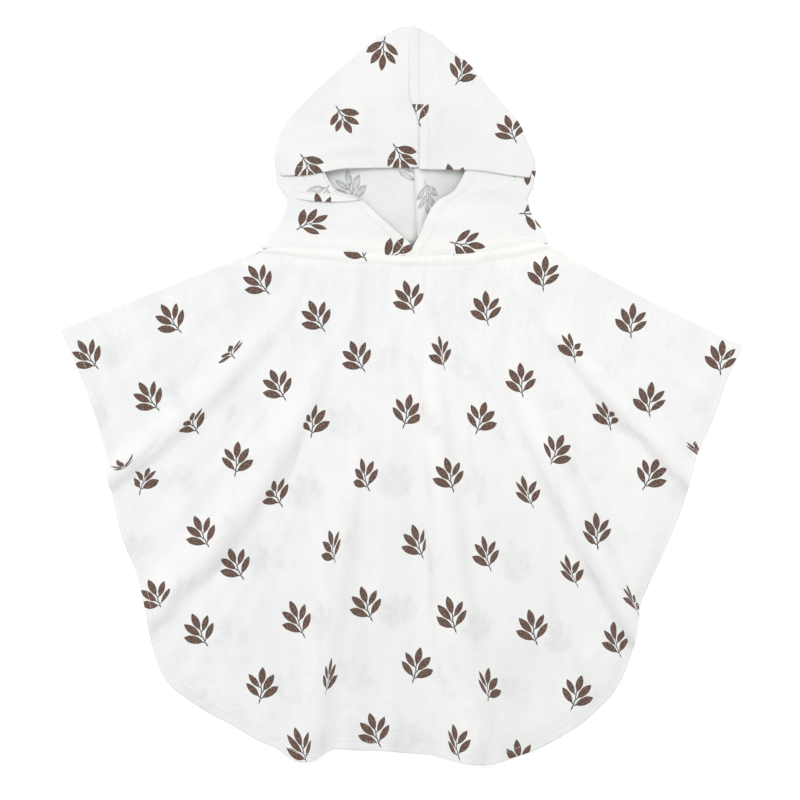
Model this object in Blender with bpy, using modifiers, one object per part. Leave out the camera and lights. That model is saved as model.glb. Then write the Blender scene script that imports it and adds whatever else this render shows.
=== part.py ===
"""Hooded bath poncho for a toddler, laid flat on its back with the hood spread above the neck.

The garment is three cuts of cotton muslin, and each is one object:
  body        one cloth, folded over both shoulders, so that it is the front and the back
  hood_left   the wearer's right half of the hood, on the left as the garment is seen from above
  hood_right  the other half

Each cloth is built as an open surface and made a wall by a Solidify modifier. The body is a
grid of rings and stations: ring 0 runs round the neck, the last ring is the hem, and a
station is a line down the cloth from the neck to the hem. The two cuts of the hood are grids
of rows, from the peak down to the neck, that run from the back seam round the side to the
front. World axes: +X to the right, +Y towards the peak of the hood, +Z up; the cloth rests
on z = 0, and the origin is under the middle of the whole. The tables below measure from the
lowest hem and from the middle of the width, and PLAN_CENTRE moves them to that origin.
"""

import math

import bmesh
import bpy
import numpy as np

MM = 0.001

# Driving dimensions, in millimetres.
CLOTH = 1.2  # wall of each cloth
SEAM_GAP = 0.3  # between the edges of two cuts, where a seam joins them
LAYER_GAP = 0.3  # between the back and the front where they lie on each other
SHOULDER_RADIUS = 1.5  # of the fold over the shoulders, to the middle of the wall
FOLD_GROWS = 0.45  # share of the length over which a fold grows to its full size
HEM_SWELL_START = 0.55  # share of the length where the hem starts to reach out at a fold

# Middle of the laid garment, in the plan that the tables use.
PLAN_CENTRE = (1.0, 351.3)

# Middle of the wall of the back, and of the front where it lies on the back.
BACK_LEVEL = CLOTH / 2
FRONT_LEVEL = CLOTH * 1.5 + LAYER_GAP
NECK_LEVEL = BACK_LEVEL + 2 * SHOULDER_RADIUS

# Neck seam in plan, left to right: x, y of the front, y of the back.
NECK = (
    (-131.0, 492.0, 492.0),
    (-96.0, 489.5, 496.0),
    (-50.0, 485.5, 500.0),
    (9.0, 481.5, 502.0),
    (66.0, 484.5, 502.0),
    (112.0, 491.0, 500.0),
    (138.0, 497.0, 497.0),
)

# Lines down the front, from the left shoulder to the right shoulder: name, x on the neck
# seam, x and y halfway down, x and y on the hem. The back has the same ends on the hem.
LINES = (
    ("shoulder_left", -131, -229, 451, -323, 415),
    ("sleeve_left_upper", -112, -212, 428, -304, 371),
    ("sleeve_left_lower", -94, -200, 402, -288, 326),
    ("fold_1_upper", -76, -193, 381, -280, 296),
    ("fold_1_lower", -54, -161, 350, -274, 257),
    ("side_left", -50, -153, 324, -267, 225),
    ("fold_2_upper", -45, -146, 306, -250, 180),
    ("fold_2_lower", -27, -105, 279, -236, 114),
    ("corner_left_upper", -24, -101, 272, -225, 80),
    ("corner_left_middle", -21, -96, 266, -201, 60),
    ("corner_left_lower", -19, -91, 261, -161, 37),
    ("fold_3_left", -17, -85, 257, -124, 17),
    ("fold_3_right", 0, -28, 251, -53, 15),
    ("middle", 7, -9, 249, -15, 15),
    ("fold_4_left", 15, 9, 247, 28, 9),
    ("fold_4_right", 32, 66, 242, 114, 6),
    ("corner_right_lower", 36, 83, 247, 150, 24),
    ("corner_right_middle", 39, 99, 253, 187, 55),
    ("corner_right_upper", 42, 113, 261, 208, 77),
    ("fold_5_lower", 46, 126, 270, 218, 105),
    ("fold_5_upper", 67, 166, 295, 228, 157),
    ("side_right", 73, 171, 323, 246, 199),
    ("fold_6_lower", 79, 175, 354, 268, 268),
    ("fold_6_upper", 102, 203, 385, 278, 296),
    ("sleeve_right_lower", 113, 212, 403, 297, 332),
    ("sleeve_right_upper", 125, 221, 425, 313, 371),
    ("shoulder_right", 138, 232, 445, 325, 400),
)

# The six deep folds: name, the line that each starts at, the share of the length where it
# begins, its height halfway down and at the hem, how far the hem reaches out at its crest,
# and the side it leans to (1 towards the next line, -1 towards the line it starts at).
FOLDS = (
    ("fold_1", 3, 0.10, 13.0, 15.0, 6.0, 1),
    ("fold_2", 6, 0.12, 15.0, 15.0, 3.0, 1),
    ("fold_3", 11, 0.22, 9.0, 15.0, 8.0, 1),
    ("fold_4", 14, 0.03, 12.0, 15.0, 9.0, 1),
    ("fold_5", 19, 0.10, 15.0, 16.0, 6.0, -1),
    ("fold_6", 22, 0.12, 13.0, 14.0, 2.0, -1),
)

# Cross-section of a fold: place across it, as a share of its width, and share of its height.
# The crest leans over, so that the cloth runs back under it before it lies flat again.
FOLD_PROFILE = (
    (0.00, 0.00),
    (0.14, 0.14),
    (0.26, 0.50),
    (0.38, 0.86),
    (0.52, 1.00),
    (0.64, 0.90),
    (0.69, 0.64),
    (0.63, 0.36),
    (0.55, 0.15),
    (0.66, 0.03),
    (0.82, 0.00),
    (1.00, 0.00),
)

# Low swells of the cloth between the folds: the line that each starts at, and its height.
SWELLS = (
    (0, 0.8),
    (1, 1.6),
    (2, 0.5),
    (4, 0.6),
    (5, 1.6),
    (7, 0.8),
    (8, 2.0),
    (9, 1.8),
    (10, 0.6),
    (12, 0.8),
    (13, 1.4),
    (15, 0.7),
    (16, 2.4),
    (17, 1.6),
    (18, 0.6),
    (20, 1.4),
    (21, 0.6),
    (23, 0.6),
    (24, 2.0),
    (25, 0.8),
)

# Shares of the length, neck to hem, that the rings of the body lie at.
RINGS = (0.0, 0.05, 0.11, 0.18, 0.26, 0.34, 0.42, 0.50, 0.58, 0.66, 0.74, 0.82, 0.89, 0.95, 1.0)

# Rows of the hood, peak first: x and y on its side, x and y at the front (the seam down the
# crown, or the edge of the mouth), y at the back seam, radius of the fold round the side,
# height of the cloth at the front. The mouth opens below the last row of the crown.
CROWN_ROWS = 11
HOOD_LEFT = (
    (2.0, 703.6, 8.6, 703.6, 703.6, 1.0, 2.0),
    (-9.0, 699.5, 8.6, 700.5, 700.5, 1.2, 3.5),
    (-23.0, 693.0, 8.8, 694.0, 694.0, 1.4, 5.5),
    (-34.0, 683.5, 9.0, 685.0, 685.0, 1.7, 7.5),
    (-50.5, 670.0, 9.5, 672.0, 672.0, 2.0, 9.5),
    (-72.0, 651.0, 10.5, 653.0, 653.0, 2.3, 11.5),
    (-92.0, 632.0, 12.0, 633.0, 634.0, 2.6, 13.0),
    (-109.0, 613.0, 13.5, 613.0, 614.0, 3.0, 14.0),
    (-119.0, 594.0, 14.5, 593.0, 594.0, 3.4, 15.0),
    (-121.5, 579.0, 15.0, 580.0, 579.0, 3.6, 15.5),
    (-120.5, 567.0, 15.2, 569.0, 568.0, 3.6, 16.0),
    (-118.5, 560.0, -72.0, 567.5, 561.0, 3.2, 9.0),
    (-116.0, 550.0, -54.0, 549.5, 552.0, 2.9, 8.0),
    (-110.5, 539.0, -39.0, 538.5, 541.0, 2.6, 8.5),
    (-112.0, 526.5, -23.0, 523.5, 530.0, 2.3, 9.0),
    (-118.5, 511.5, -8.5, 507.5, 518.0, 2.0, 8.0),
    (-131.0, 492.3, 8.8, 481.8, 502.3, 1.5, 3.6),
)
HOOD_RIGHT = (
    (12.0, 703.6, 8.9, 703.6, 703.6, 1.0, 2.0),
    (23.0, 699.5, 8.9, 700.5, 700.5, 1.2, 3.5),
    (34.0, 693.0, 9.1, 694.0, 694.0, 1.4, 5.5),
    (44.0, 683.5, 9.3, 685.0, 685.0, 1.7, 7.5),
    (62.0, 670.0, 9.8, 672.0, 672.0, 2.0, 9.5),
    (79.0, 651.0, 10.8, 653.0, 653.0, 2.3, 11.5),
    (95.0, 632.0, 12.3, 633.0, 634.0, 2.6, 13.0),
    (111.0, 613.0, 13.8, 613.0, 614.0, 3.0, 14.0),
    (121.0, 594.0, 14.8, 593.0, 594.0, 3.4, 15.0),
    (126.5, 579.0, 15.3, 580.0, 579.0, 3.6, 15.5),
    (127.5, 566.0, 15.5, 567.0, 568.0, 3.6, 16.0),
    (127.0, 558.0, 61.0, 568.0, 561.0, 3.2, 9.0),
    (123.5, 550.0, 50.0, 548.0, 552.0, 2.9, 8.0),
    (120.0, 539.0, 33.0, 536.0, 541.0, 2.6, 9.0),
    (122.5, 526.5, 25.0, 522.5, 530.0, 2.3, 9.5),
    (129.0, 511.5, 17.0, 506.5, 518.0, 2.0, 8.0),
    (138.0, 497.3, 9.1, 481.8, 502.3, 1.5, 3.6),
)
HOOD_BACK_SEAM = 16.0  # x of the seam down the back of the hood, at the neck
HOOD_BACK_STEPS = 6
HOOD_SIDE_STEPS = 4
HOOD_CORNER_STEPS = 3  # of the front, beside the mouth, that joins the crown to the throat
HOOD_CORNER = 18.0  # width of that part
HOOD_FRONT_STEPS = 7


def clear_scene():
    for obj in list(bpy.data.objects):
        bpy.data.objects.remove(obj, do_unlink=True)


def cotton(name, colour):
    """A matt woven cotton of the given linear colour."""
    material = bpy.data.materials.new(name)
    material.use_nodes = True
    shader = material.node_tree.nodes["Principled BSDF"]
    shader.inputs["Base Color"].default_value = (*colour, 1.0)
    shader.inputs["Roughness"].default_value = 0.9
    return material


def smooth(value):
    """0 below 0, 1 above 1, and a soft step between."""
    value = min(1.0, max(0.0, value))
    return value * value * (3.0 - 2.0 * value)


def neck_point(x, back=False):
    """A point of the neck seam in plan."""
    columns = np.array(NECK)
    return np.array([x, np.interp(x, columns[:, 0], columns[:, 2 if back else 1])])


def line_point(row, t, back=False):
    """The point at share t of a line down the cloth, in plan."""
    _, neck_x, middle_x, middle_y, hem_x, hem_y = row
    start, end = neck_point(neck_x, back), np.array([hem_x, hem_y])
    middle = (start + end) / 2 if back else np.array([middle_x, middle_y])
    return (
        start * (1 - t) * (1 - 2 * t) + middle * 4 * t * (1 - t) + end * t * (2 * t - 1)
    )


def fold_growth(fold, t):
    """How far a fold has grown at share t of the length: 0 at its start, 1 when it is full."""
    return smooth((t - fold[2]) / FOLD_GROWS)


def front_level(t):
    """Level of the front's lowest cloth at share t: it comes down from the neck seam."""
    return FRONT_LEVEL + (NECK_LEVEL - FRONT_LEVEL) * (1 - smooth(t / 0.12))


def fold_point(fold, share, up, t):
    """A point of a fold: share across it when it is full, and share of its height."""
    first = fold[1]
    start, end = line_point(LINES[first], t), line_point(LINES[first + 1], t)
    height = (fold[3] + (fold[4] - fold[3]) * max(0.0, 2 * t - 1)) * fold_growth(fold, t)
    plan = start + (end - start) * share
    along = line_point(LINES[first], min(1.0, t + 0.01)) - line_point(
        LINES[first], min(1.0, t + 0.01) - 0.02
    )
    along /= np.linalg.norm(along)
    reach = fold[5] * up * smooth((t - HEM_SWELL_START) / (1 - HEM_SWELL_START))
    plan = plan + along * reach
    return [plan[0], plan[1], front_level(t) + height * up]


def fold_stations(fold, t):
    """The points across one fold at share t, without the first, in order along the front."""
    profile = list(FOLD_PROFILE)
    if fold[6] < 0:
        profile = [(1 - share, up) for share, up in reversed(profile)]
    flat = np.linspace(0, 1, len(profile))
    grown = fold_growth(fold, t)
    points = []
    for level, (share, up) in zip(flat[1:], profile[1:]):
        points.append(fold_point(fold, level + (share - level) * grown, up, t))
    return points


def shoulder_points(side, t, angles):
    """Points of the fold over a shoulder, at the angles given (-90 is the back, 90 the front)."""
    row = LINES[0] if side < 0 else LINES[-1]
    start, end = line_point(row, 0.0), line_point(row, 1.0)
    along = (end - start) / np.linalg.norm(end - start)
    inward = np.array([-along[1], along[0]]) if side < 0 else np.array([along[1], -along[0]])
    edge = line_point(row, t)
    points = []
    for angle in angles:
        turn = math.radians(angle)
        plan = edge + inward * SHOULDER_RADIUS * (1 - math.cos(turn))
        height = BACK_LEVEL + SHOULDER_RADIUS * (1 + math.sin(turn))
        points.append([plan[0], plan[1], height])
    return points


def body_ring(t):
    """One ring of the body: the front left to right, then the back right to left."""
    folds = {fold[1]: fold for fold in FOLDS}
    swells = dict(SWELLS)
    ring = shoulder_points(-1, t, (90,))
    for first in range(len(LINES) - 1):
        if first in folds:
            ring += fold_stations(folds[first], t)
            continue
        start, end = line_point(LINES[first], t), line_point(LINES[first + 1], t)
        steps = (0.5, 1.0) if first + 1 < len(LINES) - 1 else (0.5,)
        for share in steps:
            plan = start + (end - start) * share
            swell = swells[first] * math.sin(math.pi * share) * smooth(2 * t)
            ring.append([plan[0], plan[1], front_level(t) + swell])
    ring += shoulder_points(1, t, (90, 45, 0, -45, -90))
    for row in reversed(LINES[1:-1]):
        plan = line_point(row, t, back=True)
        ring.append([plan[0], plan[1], BACK_LEVEL])
    ring += shoulder_points(-1, t, (-90, -45, 0, 45))
    return ring


def hood_row(row, side, crown, at_neck):
    """One row of a half of the hood, from the back seam round the side to the front."""
    side_x, side_y, front_x, front_y, back_y, radius, front_z = row
    back_x = np.interp(back_y, (502.0, 703.0), (HOOD_BACK_SEAM, 8.75)) + side * SEAM_GAP / 2
    inner = side_x - side * radius
    points = []
    for share in np.linspace(0, 1, HOOD_BACK_STEPS + 1):
        points.append([back_x + (inner - back_x) * share, back_y + (side_y - back_y) * share, BACK_LEVEL])
    for angle in np.linspace(-90, 90, HOOD_SIDE_STEPS + 1)[1:]:
        turn = math.radians(angle)
        points.append(
            [inner + side * radius * math.cos(turn), side_y, BACK_LEVEL + radius * (1 + math.sin(turn))]
        )
    top = BACK_LEVEL + 2 * radius
    width = abs(front_x - inner)
    corner = min(HOOD_CORNER, 0.25 * width) / width
    shares = list(np.linspace(0, corner, HOOD_CORNER_STEPS + 1)[1:])
    shares += list(np.linspace(corner, 1, HOOD_FRONT_STEPS + 1)[1:])
    for share in shares:
        if crown:
            climb = math.sin(math.pi / 2 * share)
        else:
            climb = smooth(share)
        points.append(
            [
                inner + (front_x - inner) * share,
                side_y + (front_y - side_y) * share,
                top + (front_z - top) * climb,
            ]
        )
    if at_neck:
        for index, point in enumerate(points):
            seam = neck_point(point[0], back=index <= HOOD_BACK_STEPS)
            point[1] = seam[1] + SEAM_GAP
    return points


def mesh_object(name, points, faces, material, collection):
    """A cloth: an open surface of the points, in millimetres, with its wall from a Solidify."""
    mesh = bpy.data.meshes.new(name)
    placed = np.array(points) - (*PLAN_CENTRE, 0.0)
    mesh.from_pydata((placed * MM).tolist(), [], faces)
    mesh.validate()
    shaped = bmesh.new()
    shaped.from_mesh(mesh)
    bmesh.ops.recalc_face_normals(shaped, faces=shaped.faces)
    shaped.to_mesh(mesh)
    shaped.free()
    mesh.materials.append(material)
    obj = bpy.data.objects.new(name, mesh)
    collection.objects.link(obj)
    wall = obj.modifiers.new("wall", "SOLIDIFY")
    wall.thickness = CLOTH * MM
    wall.offset = 0.0
    wall.use_rim = True
    return obj


def make_body(material, collection):
    rings = [body_ring(t) for t in RINGS]
    count = len(rings[0])
    points = [point for ring in rings for point in ring]
    faces = []
    for r in range(len(rings) - 1):
        for s in range(count):
            after = (s + 1) % count
            faces.append(
                (r * count + s, r * count + after, (r + 1) * count + after, (r + 1) * count + s)
            )
    return mesh_object("body", points, faces, material, collection)


def make_hood(name, table, side, material, collection):
    rows = []
    for index, row in enumerate(table):
        rows.append(hood_row(row, side, index < CROWN_ROWS, index == len(table) - 1))
    count = len(rows[0])
    back_and_side = HOOD_BACK_STEPS + HOOD_SIDE_STEPS
    corner = back_and_side + HOOD_CORNER_STEPS
    points = [point for row in rows for point in row]
    faces = []
    for r in range(len(rows) - 1):
        mouth = r == CROWN_ROWS - 1
        for s in range(corner if mouth else count - 1):
            faces.append((r * count + s, r * count + s + 1, (r + 1) * count + s + 1, (r + 1) * count + s))
    return mesh_object(name, points, faces, material, collection)


def main():
    clear_scene()
    collection = bpy.data.collections.new("hooded_bath_poncho")
    bpy.context.scene.collection.children.link(collection)
    make_body(cotton("muslin_body", (0.82, 0.83, 0.83)), collection)
    make_hood("hood_left", HOOD_LEFT, -1, cotton("muslin_hood_left", (0.80, 0.81, 0.81)), collection)
    make_hood("hood_right", HOOD_RIGHT, 1, cotton("muslin_hood_right", (0.78, 0.80, 0.80)), collection)


main()
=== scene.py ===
"""Looks of a hooded bath poncho of printed double muslin, laid flat with its folds fanned out.

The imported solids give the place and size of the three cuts. This script lays a fine cloth
shell over each of them, with its folds, creases, turned hems and seams, prints the cloth with
a repeat of leaf sprigs, and sews it. Tables and lengths are in millimetres, measured from the
lowest hem and from the middle of the width as in the part's own source, and PLAN_CENTRE moves
them to the frame.
"""

import math

import bpy
import numpy as np
from bpy.props import FloatProperty, FloatVectorProperty, PointerProperty
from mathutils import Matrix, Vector, noise


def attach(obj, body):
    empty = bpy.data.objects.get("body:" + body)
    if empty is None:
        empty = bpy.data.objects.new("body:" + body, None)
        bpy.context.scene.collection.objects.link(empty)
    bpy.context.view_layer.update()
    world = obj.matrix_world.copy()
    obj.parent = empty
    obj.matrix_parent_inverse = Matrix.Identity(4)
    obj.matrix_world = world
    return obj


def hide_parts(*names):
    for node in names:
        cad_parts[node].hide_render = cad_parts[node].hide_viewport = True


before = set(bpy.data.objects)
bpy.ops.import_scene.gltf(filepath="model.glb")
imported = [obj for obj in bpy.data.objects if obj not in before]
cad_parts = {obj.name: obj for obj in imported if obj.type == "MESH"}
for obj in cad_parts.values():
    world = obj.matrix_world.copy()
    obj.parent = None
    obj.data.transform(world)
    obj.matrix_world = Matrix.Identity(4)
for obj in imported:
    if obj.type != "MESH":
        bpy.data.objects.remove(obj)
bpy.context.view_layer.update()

bl_info = {
    "name": "Hooded Bath Poncho",
    "version": (1, 0, 0),
    "blender": (4, 5, 0),
    "location": "3D View > Sidebar > Poncho",
    "description": "Dresses a laid hooded poncho in printed double muslin with hems, seams and folds",
    "category": "Object",
}

MM = 0.001

# Middle of the laid garment, in the plan that the tables use.
PLAN_CENTRE = (1.0, 351.3)

# The solids' own levels and gaps.
WALL = 1.2
SEAM_GAP = 0.3
LAYER_GAP = 0.3
SHOULDER_RADIUS = 1.5
FOLD_GROWS = 0.45
HEM_SWELL_START = 0.55
BACK_LEVEL = WALL / 2
FRONT_LEVEL = WALL * 1.5 + LAYER_GAP
NECK_LEVEL = BACK_LEVEL + 2 * SHOULDER_RADIUS

# Neck seam in plan, left to right: x, y of the front, y of the back.
NECK = (
    (-131.0, 492.0, 492.0),
    (-96.0, 489.5, 496.0),
    (-50.0, 485.5, 500.0),
    (9.0, 481.5, 502.0),
    (66.0, 484.5, 502.0),
    (112.0, 491.0, 500.0),
    (138.0, 497.0, 497.0),
)

# Lines down the front, from the left shoulder to the right: name, x on the neck seam, x and y
# halfway down, x and y on the hem, height of the low swell between it and the next line, and
# the part of the print that the cloth between them shows.
LINES = (
    ("shoulder_left", -131, -230, 453, -323, 415, 0.8, "left_sleeve"),
    ("sleeve_left_upper", -112, -212, 428, -304, 371, 1.6, "left_sleeve"),
    ("sleeve_left_lower", -94, -200, 402, -288, 326, 0.5, "left_sleeve"),
    ("fold_1_upper", -76, -193, 381, -280, 296, 0.0, "left_sleeve"),
    ("fold_1_lower", -54, -161, 350, -274, 257, 0.6, "left_side"),
    ("side_left", -50, -153, 324, -267, 225, 1.6, "left_side"),
    ("fold_2_upper", -45, -146, 306, -250, 180, 0.0, "left_side"),
    ("fold_2_lower", -27, -105, 279, -236, 114, 0.8, "left_front"),
    ("corner_left_upper", -24, -102.5, 272, -223, 82, 2.0, "left_front"),
    ("corner_left_middle", -22.5, -98.7, 268.5, -200, 62.5, 1.8, "left_front"),
    ("corner_left_lower", -19.6, -91.6, 262.6, -162, 40.5, 0.6, "left_front"),
    ("fold_3_left", -17, -85, 257, -124, 20.5, 0.0, "left_front"),
    ("fold_3_right", 0, -28, 251, -61, 17, 0.8, "middle_front"),
    ("middle", 7, -9, 249, -15, 15, 1.4, "middle_front"),
    ("fold_4_left", 15, 9, 247, 23, 12.0, 0.0, "middle_front"),
    ("fold_4_right", 32, 66, 242, 112, 10.5, 0.7, "right_front"),
    ("corner_right_lower", 36, 83, 247, 150, 28, 2.4, "right_front"),
    ("corner_right_middle", 39, 99, 253, 187, 55, 1.6, "right_front"),
    ("corner_right_upper", 42, 113, 261, 207, 79, 0.6, "right_front"),
    ("fold_5_lower", 46, 126, 270, 218, 105, 0.0, "right_front"),
    ("fold_5_upper", 67, 166, 295, 228, 157, 1.4, "right_side"),
    ("side_right", 73, 171, 323, 249, 203, 0.6, "right_side"),
    ("fold_6_lower", 79, 175, 354, 270.5, 257, 0.0, "right_side"),
    ("fold_6_upper", 102, 203, 385, 281.5, 297, 0.6, "right_sleeve"),
    ("sleeve_right_lower", 113, 212, 403, 297, 332, 2.0, "right_sleeve"),
    ("sleeve_right_upper", 125, 221, 425, 311, 371, 0.8, "right_sleeve"),
    ("shoulder_right", 138, 232, 445, 325, 400, 0.0, "right_sleeve"),
)

# The six deep folds: name, the line that each starts at, the share of the length where it
# begins, its height halfway down and at the hem, how far the hem reaches out at its crest,
# the side it leans to (1 towards the next line, -1 towards the line it starts at), and the
# part of its width that takes up the spare cloth.
FOLDS = (
    ("fold_1", 3, 0.10, 7.4, 9.0, 2.0, 1, 0.48, 0.80),
    ("fold_2", 6, 0.12, 10.4, 10.0, -2.0, 1, 0.50, 0.86),
    ("fold_3", 11, 0.22, 9.0, 11.0, 10.5, 1, 0.50, 0.86),
    ("fold_4", 14, 0.03, 11.0, 11.0, 3.5, 1, 0.18, 0.32),
    ("fold_5", 19, 0.10, 13.0, 11.0, 0.0, -1, 0.14, 0.50),
    ("fold_6", 22, 0.12, 11.0, 9.0, -1.0, -1, 0.14, 0.50),
)

# Cross-section of a fold of the soft cloth: place across it, as a share of its width, and
# share of its height. One side climbs gently and the other falls steeply.
FOLD_PROFILE = (
    (0.00, 0.00),
    (0.09, 0.07),
    (0.19, 0.30),
    (0.30, 0.64),
    (0.41, 0.90),
    (0.52, 1.00),
    (0.63, 0.95),
    (0.73, 0.70),
    (0.82, 0.34),
    (0.91, 0.08),
    (1.00, 0.00),
)
FOLD_SAMPLES = 28

# Main creases of the front: x, y at one end, x, y at the other, width, height (below 0 is a
# trough).
BODY_CREASES = (
    (-196, 368, -181, 396, 5, -0.9),
    (-151, 387, -147, 361, 3, -0.8),
    (-160, 368, -158, 345, 3, -0.7),
    (-124, 434, -134, 406, 5, -0.6),
    (-56, 448, -64, 420, 4, -0.9),
    (-4, 412, -6, 385, 6, -0.6),
    (-94, 310, -112, 260, 4, -1.5),
    (-158, 270, -171, 240, 4, -1.4),
    (20, 292, 23, 230, 3, -0.9),
    (28, 300, 34, 210, 5, 0.7),
    (43, 455, 53, 408, 5, -1.1),
    (52, 410, 58, 366, 5, -1.9),
    (77, 372, 83, 345, 4, -1.2),
    (88, 318, 102, 292, 4, -1.3),
    (113, 440, 125, 404, 5, -0.7),
    (142, 402, 166, 366, 7, -0.9),
    (58, 368, 66, 268, 3, -1.0),
    (188, 337, 210, 306, 8, -1.4),
    (222, 316, 236, 292, 4, -0.9),
    (177, 379, 220, 356, 4, 1.0),
    (251, 370, 293, 351, 5, 1.1),
    (243, 340, 268, 303, 5, 1.0),
    (153, 446, 166, 421, 5, 0.8),
    (-139, 252, -133, 220, 3, -0.9),
    (-218, 152, -178, 180, 8, -1.3),
    (-180, 176, -160, 197, 6, -1.2),
    (-236, 128, -212, 141, 5, -0.9),
    (-80, 245, -74, 193, 5, -0.8),
    (-28, 262, -25, 198, 3, -0.9),
    (-25, 203, -33, 168, 3, -1.0),
    (25, 200, 19, 143, 3, -0.9),
    (31, 196, 26, 140, 3, 0.6),
    (-123, 62, -125, 30, 5, -0.9),
    (-58, 63, -57, 18, 6, -1.0),
    (-38, 130, -52, 78, 5, -1.2),
    (-201, 99, -150, 94, 2, -0.7),
    (-205, 84, -155, 75, 2, -0.7),
    (-190, 72, -146, 62, 2, 0.5),
    (72, 270, 78, 241, 4, -1.0),
    (46, 125, 64, 66, 5, 1.0),
    (63, 70, 71, 40, 5, 1.0),
    (82, 164, 90, 136, 4, -0.8),
    (139, 228, 142, 192, 3, -0.9),
    (150, 195, 157, 158, 4, -1.0),
    (186, 176, 189, 136, 4, -0.9),
    (190, 128, 173, 94, 5, 1.1),
    (99, 106, 125, 101, 2, -0.6),
    (108, 92, 133, 86, 2, -0.5),
    (-1, 78, 1, 24, 8, -0.8),
    (-16, 114, -12, 62, 6, -0.8),
    (-70, 470, -76, 444, 4, -0.6),
    (2, 474, 4, 448, 3, -0.7),
    (22, 474, 22, 440, 3, -0.7),
    (38, 472, 42, 446, 4, -0.6),
    (60, 474, 66, 450, 3, -0.5),
    (-232, 318, -238, 296, 4, -0.8),
    (-290, 352, -278, 322, 4, -0.7),
    (286, 352, 268, 312, 5, -0.8),
    (-52, 330, -56, 268, 3, -0.7),
    (-40, 246, -44, 214, 4, -0.6),
    (104, 222, 106, 190, 3, -0.8),
    (122, 210, 124, 176, 3, -0.7),
    (-146, 214, -150, 176, 4, -0.7),
    (-104, 476, -146, 430, 7, -1.0),
    (-84, 474, -112, 412, 6, -0.9),
    (-58, 470, -84, 388, 8, -1.3),
    (-44, 466, -60, 396, 6, 0.9),
    (-32, 468, -44, 372, 8, -1.2),
    (-14, 468, -20, 404, 7, -0.8),
    (16, 470, 24, 420, 6, 0.8),
    (30, 468, 42, 376, 8, -1.1),
    (52, 468, 70, 396, 7, -0.8),
    (76, 474, 104, 404, 8, -1.0),
    (96, 478, 128, 424, 7, 0.8),
    (112, 478, 148, 430, 7, -0.8),
)

# The back is pressed flat under the garment, and has these creases: columns as above.
BACK_CREASES = (
    (-150, 420, -60, 440, 4, 0.5),
    (40, 452, 130, 438, 4, 0.5),
    (-90, 380, -104, 260, 5, 0.6),
    (-30, 400, -38, 240, 4, 0.5),
    (34, 420, 40, 300, 5, 0.6),
    (108, 372, 126, 250, 4, 0.5),
    (-180, 330, -196, 250, 4, 0.4),
    (190, 340, 206, 262, 5, 0.5),
    (-60, 190, -66, 70, 5, 0.6),
    (20, 200, 18, 60, 4, 0.5),
    (96, 190, 112, 80, 5, 0.6),
    (-140, 170, -156, 90, 4, 0.4),
)

# Creases of the hood's front: columns as above.
HOOD_CREASES = (
    (2, 629, 32, 631, 3, 1.0),
    (0, 625, 30, 627, 2, -0.8),
    (-104, 586, -14, 595, 4, -1.0),
    (-96, 577, -10, 585, 5, 0.9),
    (-80, 571, -16, 577, 3, -0.7),
    (39, 680, 33, 664, 4, -1.2),
    (33, 668, 26, 644, 4, -1.3),
    (50, 619, 88, 614, 4, -0.9),
    (54, 603, 92, 597, 5, 0.9),
    (62, 551, 100, 553, 3, -1.1),
    (64, 546, 96, 548, 4, 0.9),
    (90, 544, 103, 521, 6, -0.9),
    (70, 536, 76, 514, 5, -0.6),
    (-62, 632, -48, 600, 9, -0.8),
    (-92, 556, -84, 530, 6, -0.6),
    (-40, 528, -62, 506, 8, 0.7),
    (30, 520, 44, 500, 6, 0.7),
    (-110, 600, -112, 570, 4, -0.7),
    (112, 598, 118, 572, 4, -0.6),
    (80, 588, 104, 580, 6, -0.7),
)

# Rows of the hood, peak first: x and y on its side, x and y at the front (the seam down the
# crown, or the edge of the mouth), y at the back seam, radius of the fold round the side,
# height of the cloth at the front. The mouth opens below the last row of the crown.
CROWN_ROWS = 11
HOOD_LEFT = (
    (2.0, 703.6, 8.6, 703.6, 703.6, 1.0, 2.0),
    (-9.0, 699.5, 8.0, 700.5, 700.5, 1.2, 3.5),
    (-23.0, 693.0, 7.6, 694.0, 694.0, 1.4, 5.5),
    (-34.0, 683.5, 7.4, 685.0, 685.0, 1.7, 7.5),
    (-50.5, 670.0, 7.4, 672.0, 672.0, 2.0, 9.5),
    (-72.0, 651.0, 7.6, 653.0, 653.0, 2.3, 11.5),
    (-92.0, 632.0, 8.6, 633.0, 634.0, 2.6, 13.0),
    (-109.0, 613.0, 16.2, 613.0, 614.0, 3.0, 12.6),
    (-118.0, 594.0, 17.0, 593.0, 594.0, 3.4, 13.2),
    (-119.8, 579.0, 17.0, 580.0, 579.0, 3.6, 13.4),
    (-119.0, 567.0, 17.0, 569.0, 568.0, 3.6, 13.4),
    (-118.2, 558.0, -77.0, 573.0, 562.0, 3.2, 7.0),
    (-115.4, 550.0, -62.0, 548.0, 552.0, 2.9, 7.6),
    (-108.4, 539.0, -40.0, 540.0, 541.0, 2.6, 8.5),
    (-111.0, 526.5, -21.0, 523.5, 530.0, 2.3, 9.0),
    (-119.5, 511.5, -3.0, 507.5, 518.0, 2.0, 7.0),
    (-126.2, 502.5, 9.5, 496.0, 510.5, 1.8, 5.0),
    (-133.0, 492.3, 14.0, 481.8, 502.3, 1.5, 3.6),
)
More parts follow.
